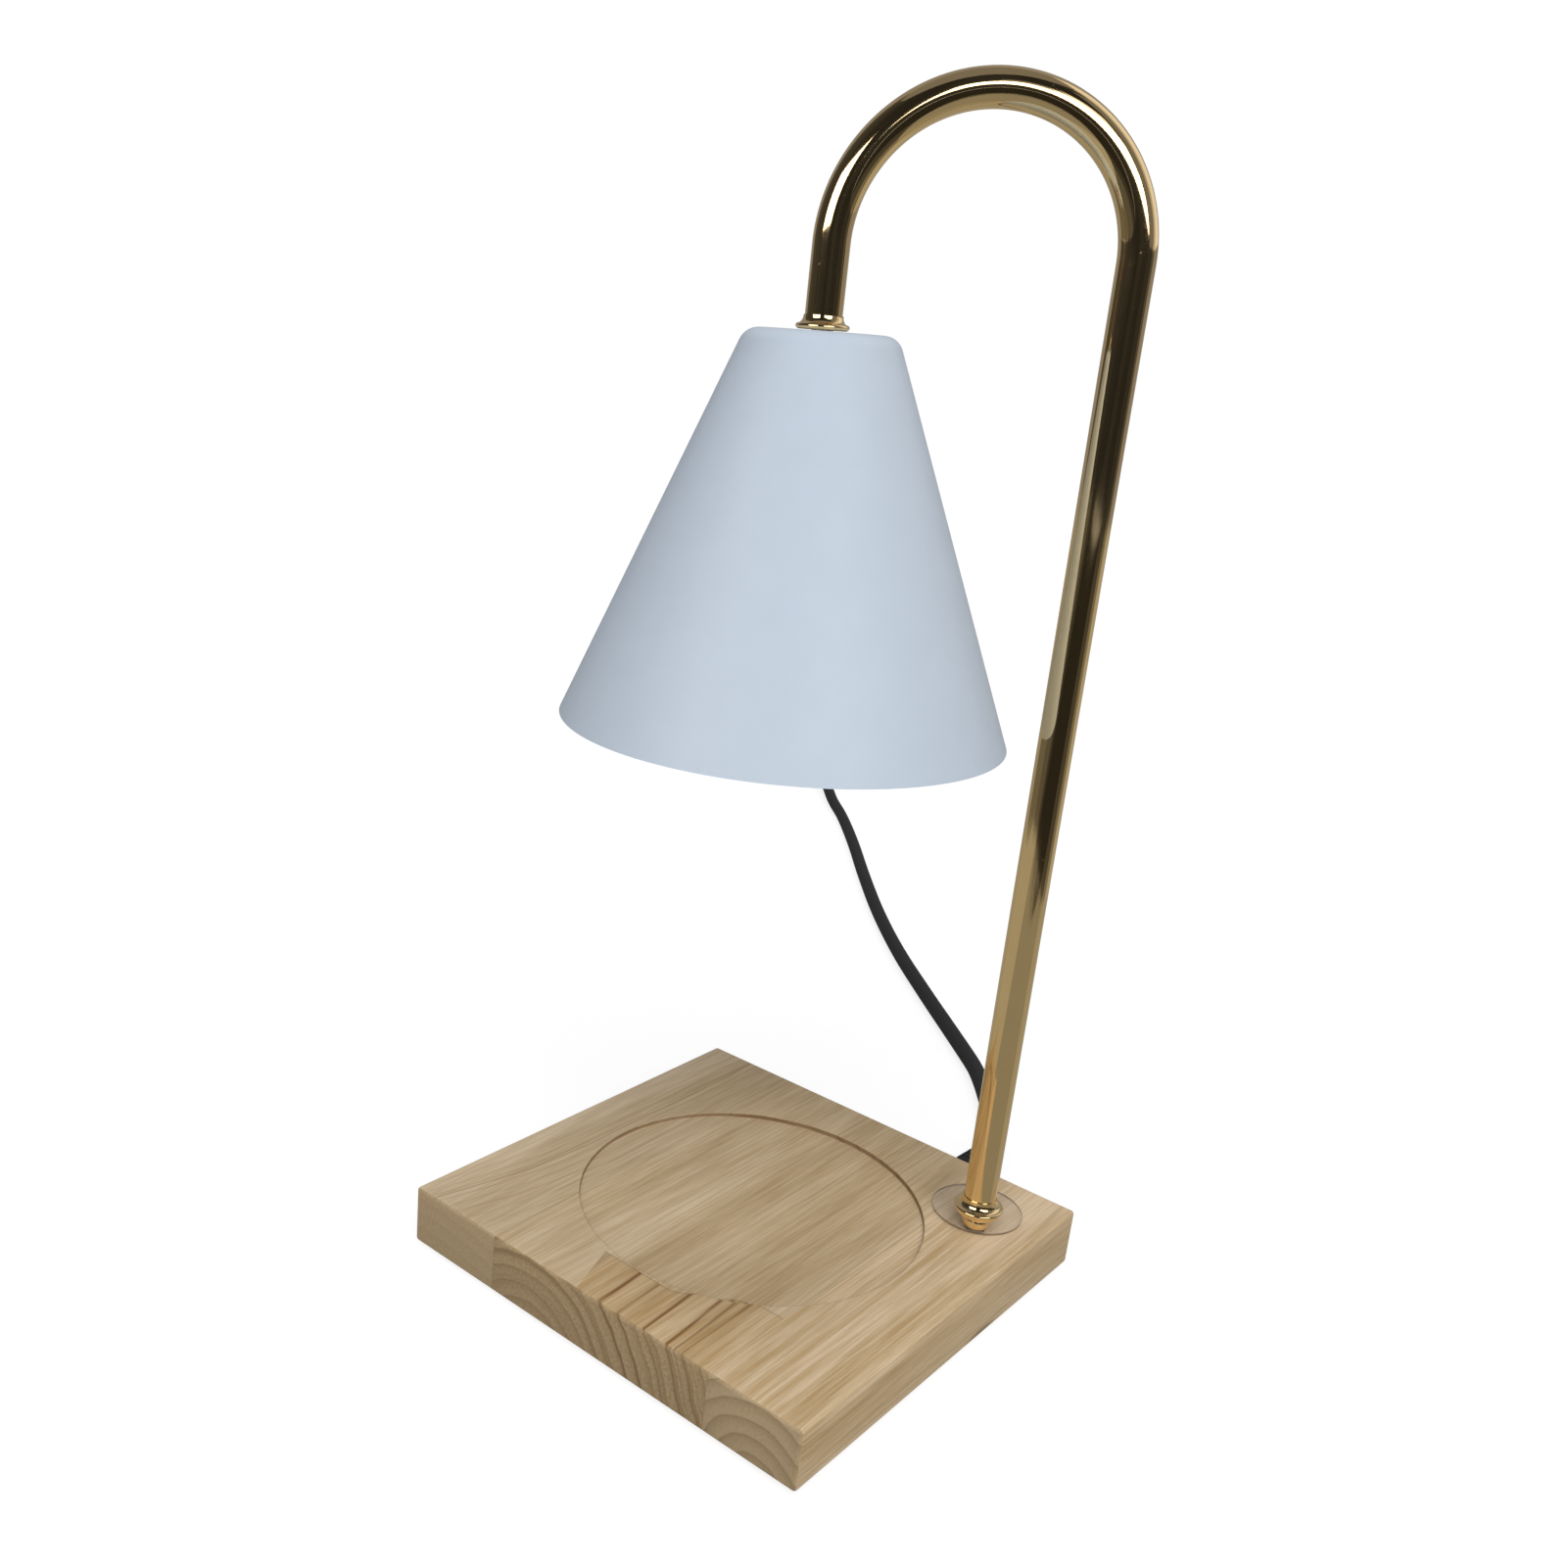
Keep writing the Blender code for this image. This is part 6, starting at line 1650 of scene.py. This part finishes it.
    def cards(self) -> None:
        """The dim room round the object, the warm ground near it, and the windows in the room."""
        room, near, low = self.room, self.near_ground, self.ground_height
        walls = [(-130, -105, 0.07), (-105, -75, 0.05), (-75, -50, 0.034), (-50, -28, 0.024), (-28, -8, 0.022),
                 (-8, 14, 0.030), (14, 45, 0.022), (45, 75, 0.036), (75, 92, 0.09), (92, 130, 0.28),
                 (130, 175, 0.34), (175, 230, 0.30)]
        for number, (start, end, brightness) in enumerate(walls):
            self.wall(f"wall_card_{number}", start, end, brightness, room, (0.0, self.room_height))
        grounds = [(-130, -75, 0.16), (-75, -42, 0.11), (-42, -28, 0.05), (-28, 45, 0.024), (45, 72, 0.07),
                   (72, 92, 0.20), (92, 130, 0.45), (130, 175, 0.40), (175, 230, 0.35)]
        for number, (start, end, brightness) in enumerate(grounds):
            spots = ((start, near), (end, near), (end, room), (start, room))
            corners = [self.spot(*spot, low) for spot in spots]
            self.card(f"far_ground_card_{number}", corners, brightness, self.ground_tint)
        near_grounds = [(-130, -30, 0.42), (-30, 75, 0.29), (75, 230, 0.38)]
        for number, (start, end, brightness) in enumerate(near_grounds):
            rim = [self.spot(start + (end - start) * step / 6, near, low) for step in range(7)]
            self.card(f"near_ground_card_{number}", [Vector((0, 0, low)), *rim], brightness, self.ground_tint)
        rim = [self.spot(30 * step, room * 1.1, self.room_height) for step in range(12)]
        self.card("ceiling_card", rim, 0.22, self.room_tint)
        windows = [(-68, -27, 4.2, (0.58, 1.50)), (0, 46, 4.2, (0.66, 1.24)), (15, 44, 3.2, (1.24, 1.60)),
                   (21, 41, 1.3, (1.60, 2.00)), (6, 15, 0.30, (1.24, 1.70)), (50, 78, 0.20, (0.58, 3.60)),
                   (78, 92, 0.48, (0.58, 4.40)), (92, 130, 0.90, (0.58, 4.40))]
        for number, (start, end, brightness, heights) in enumerate(windows):
            self.wall(f"window_card_{number}", start, end, brightness, room * 0.88, heights)


def main() -> None:
    """Builds the lamp over the frame, piece by piece, and the studio round it."""
    logging.basicConfig(level=logging.INFO, format="%(name)s: %(message)s", force=True)
    studio = Studio()
    studio.camera()
    for kind in (MainsCord, WoodenBase, BentPole, ConeShade, BulbHolder, HalogenBulb, CarriedNodes):
        LOG.info("building %s", kind.__name__)
        kind().build()
    studio.build()


if __name__ == "__main__":
    main()
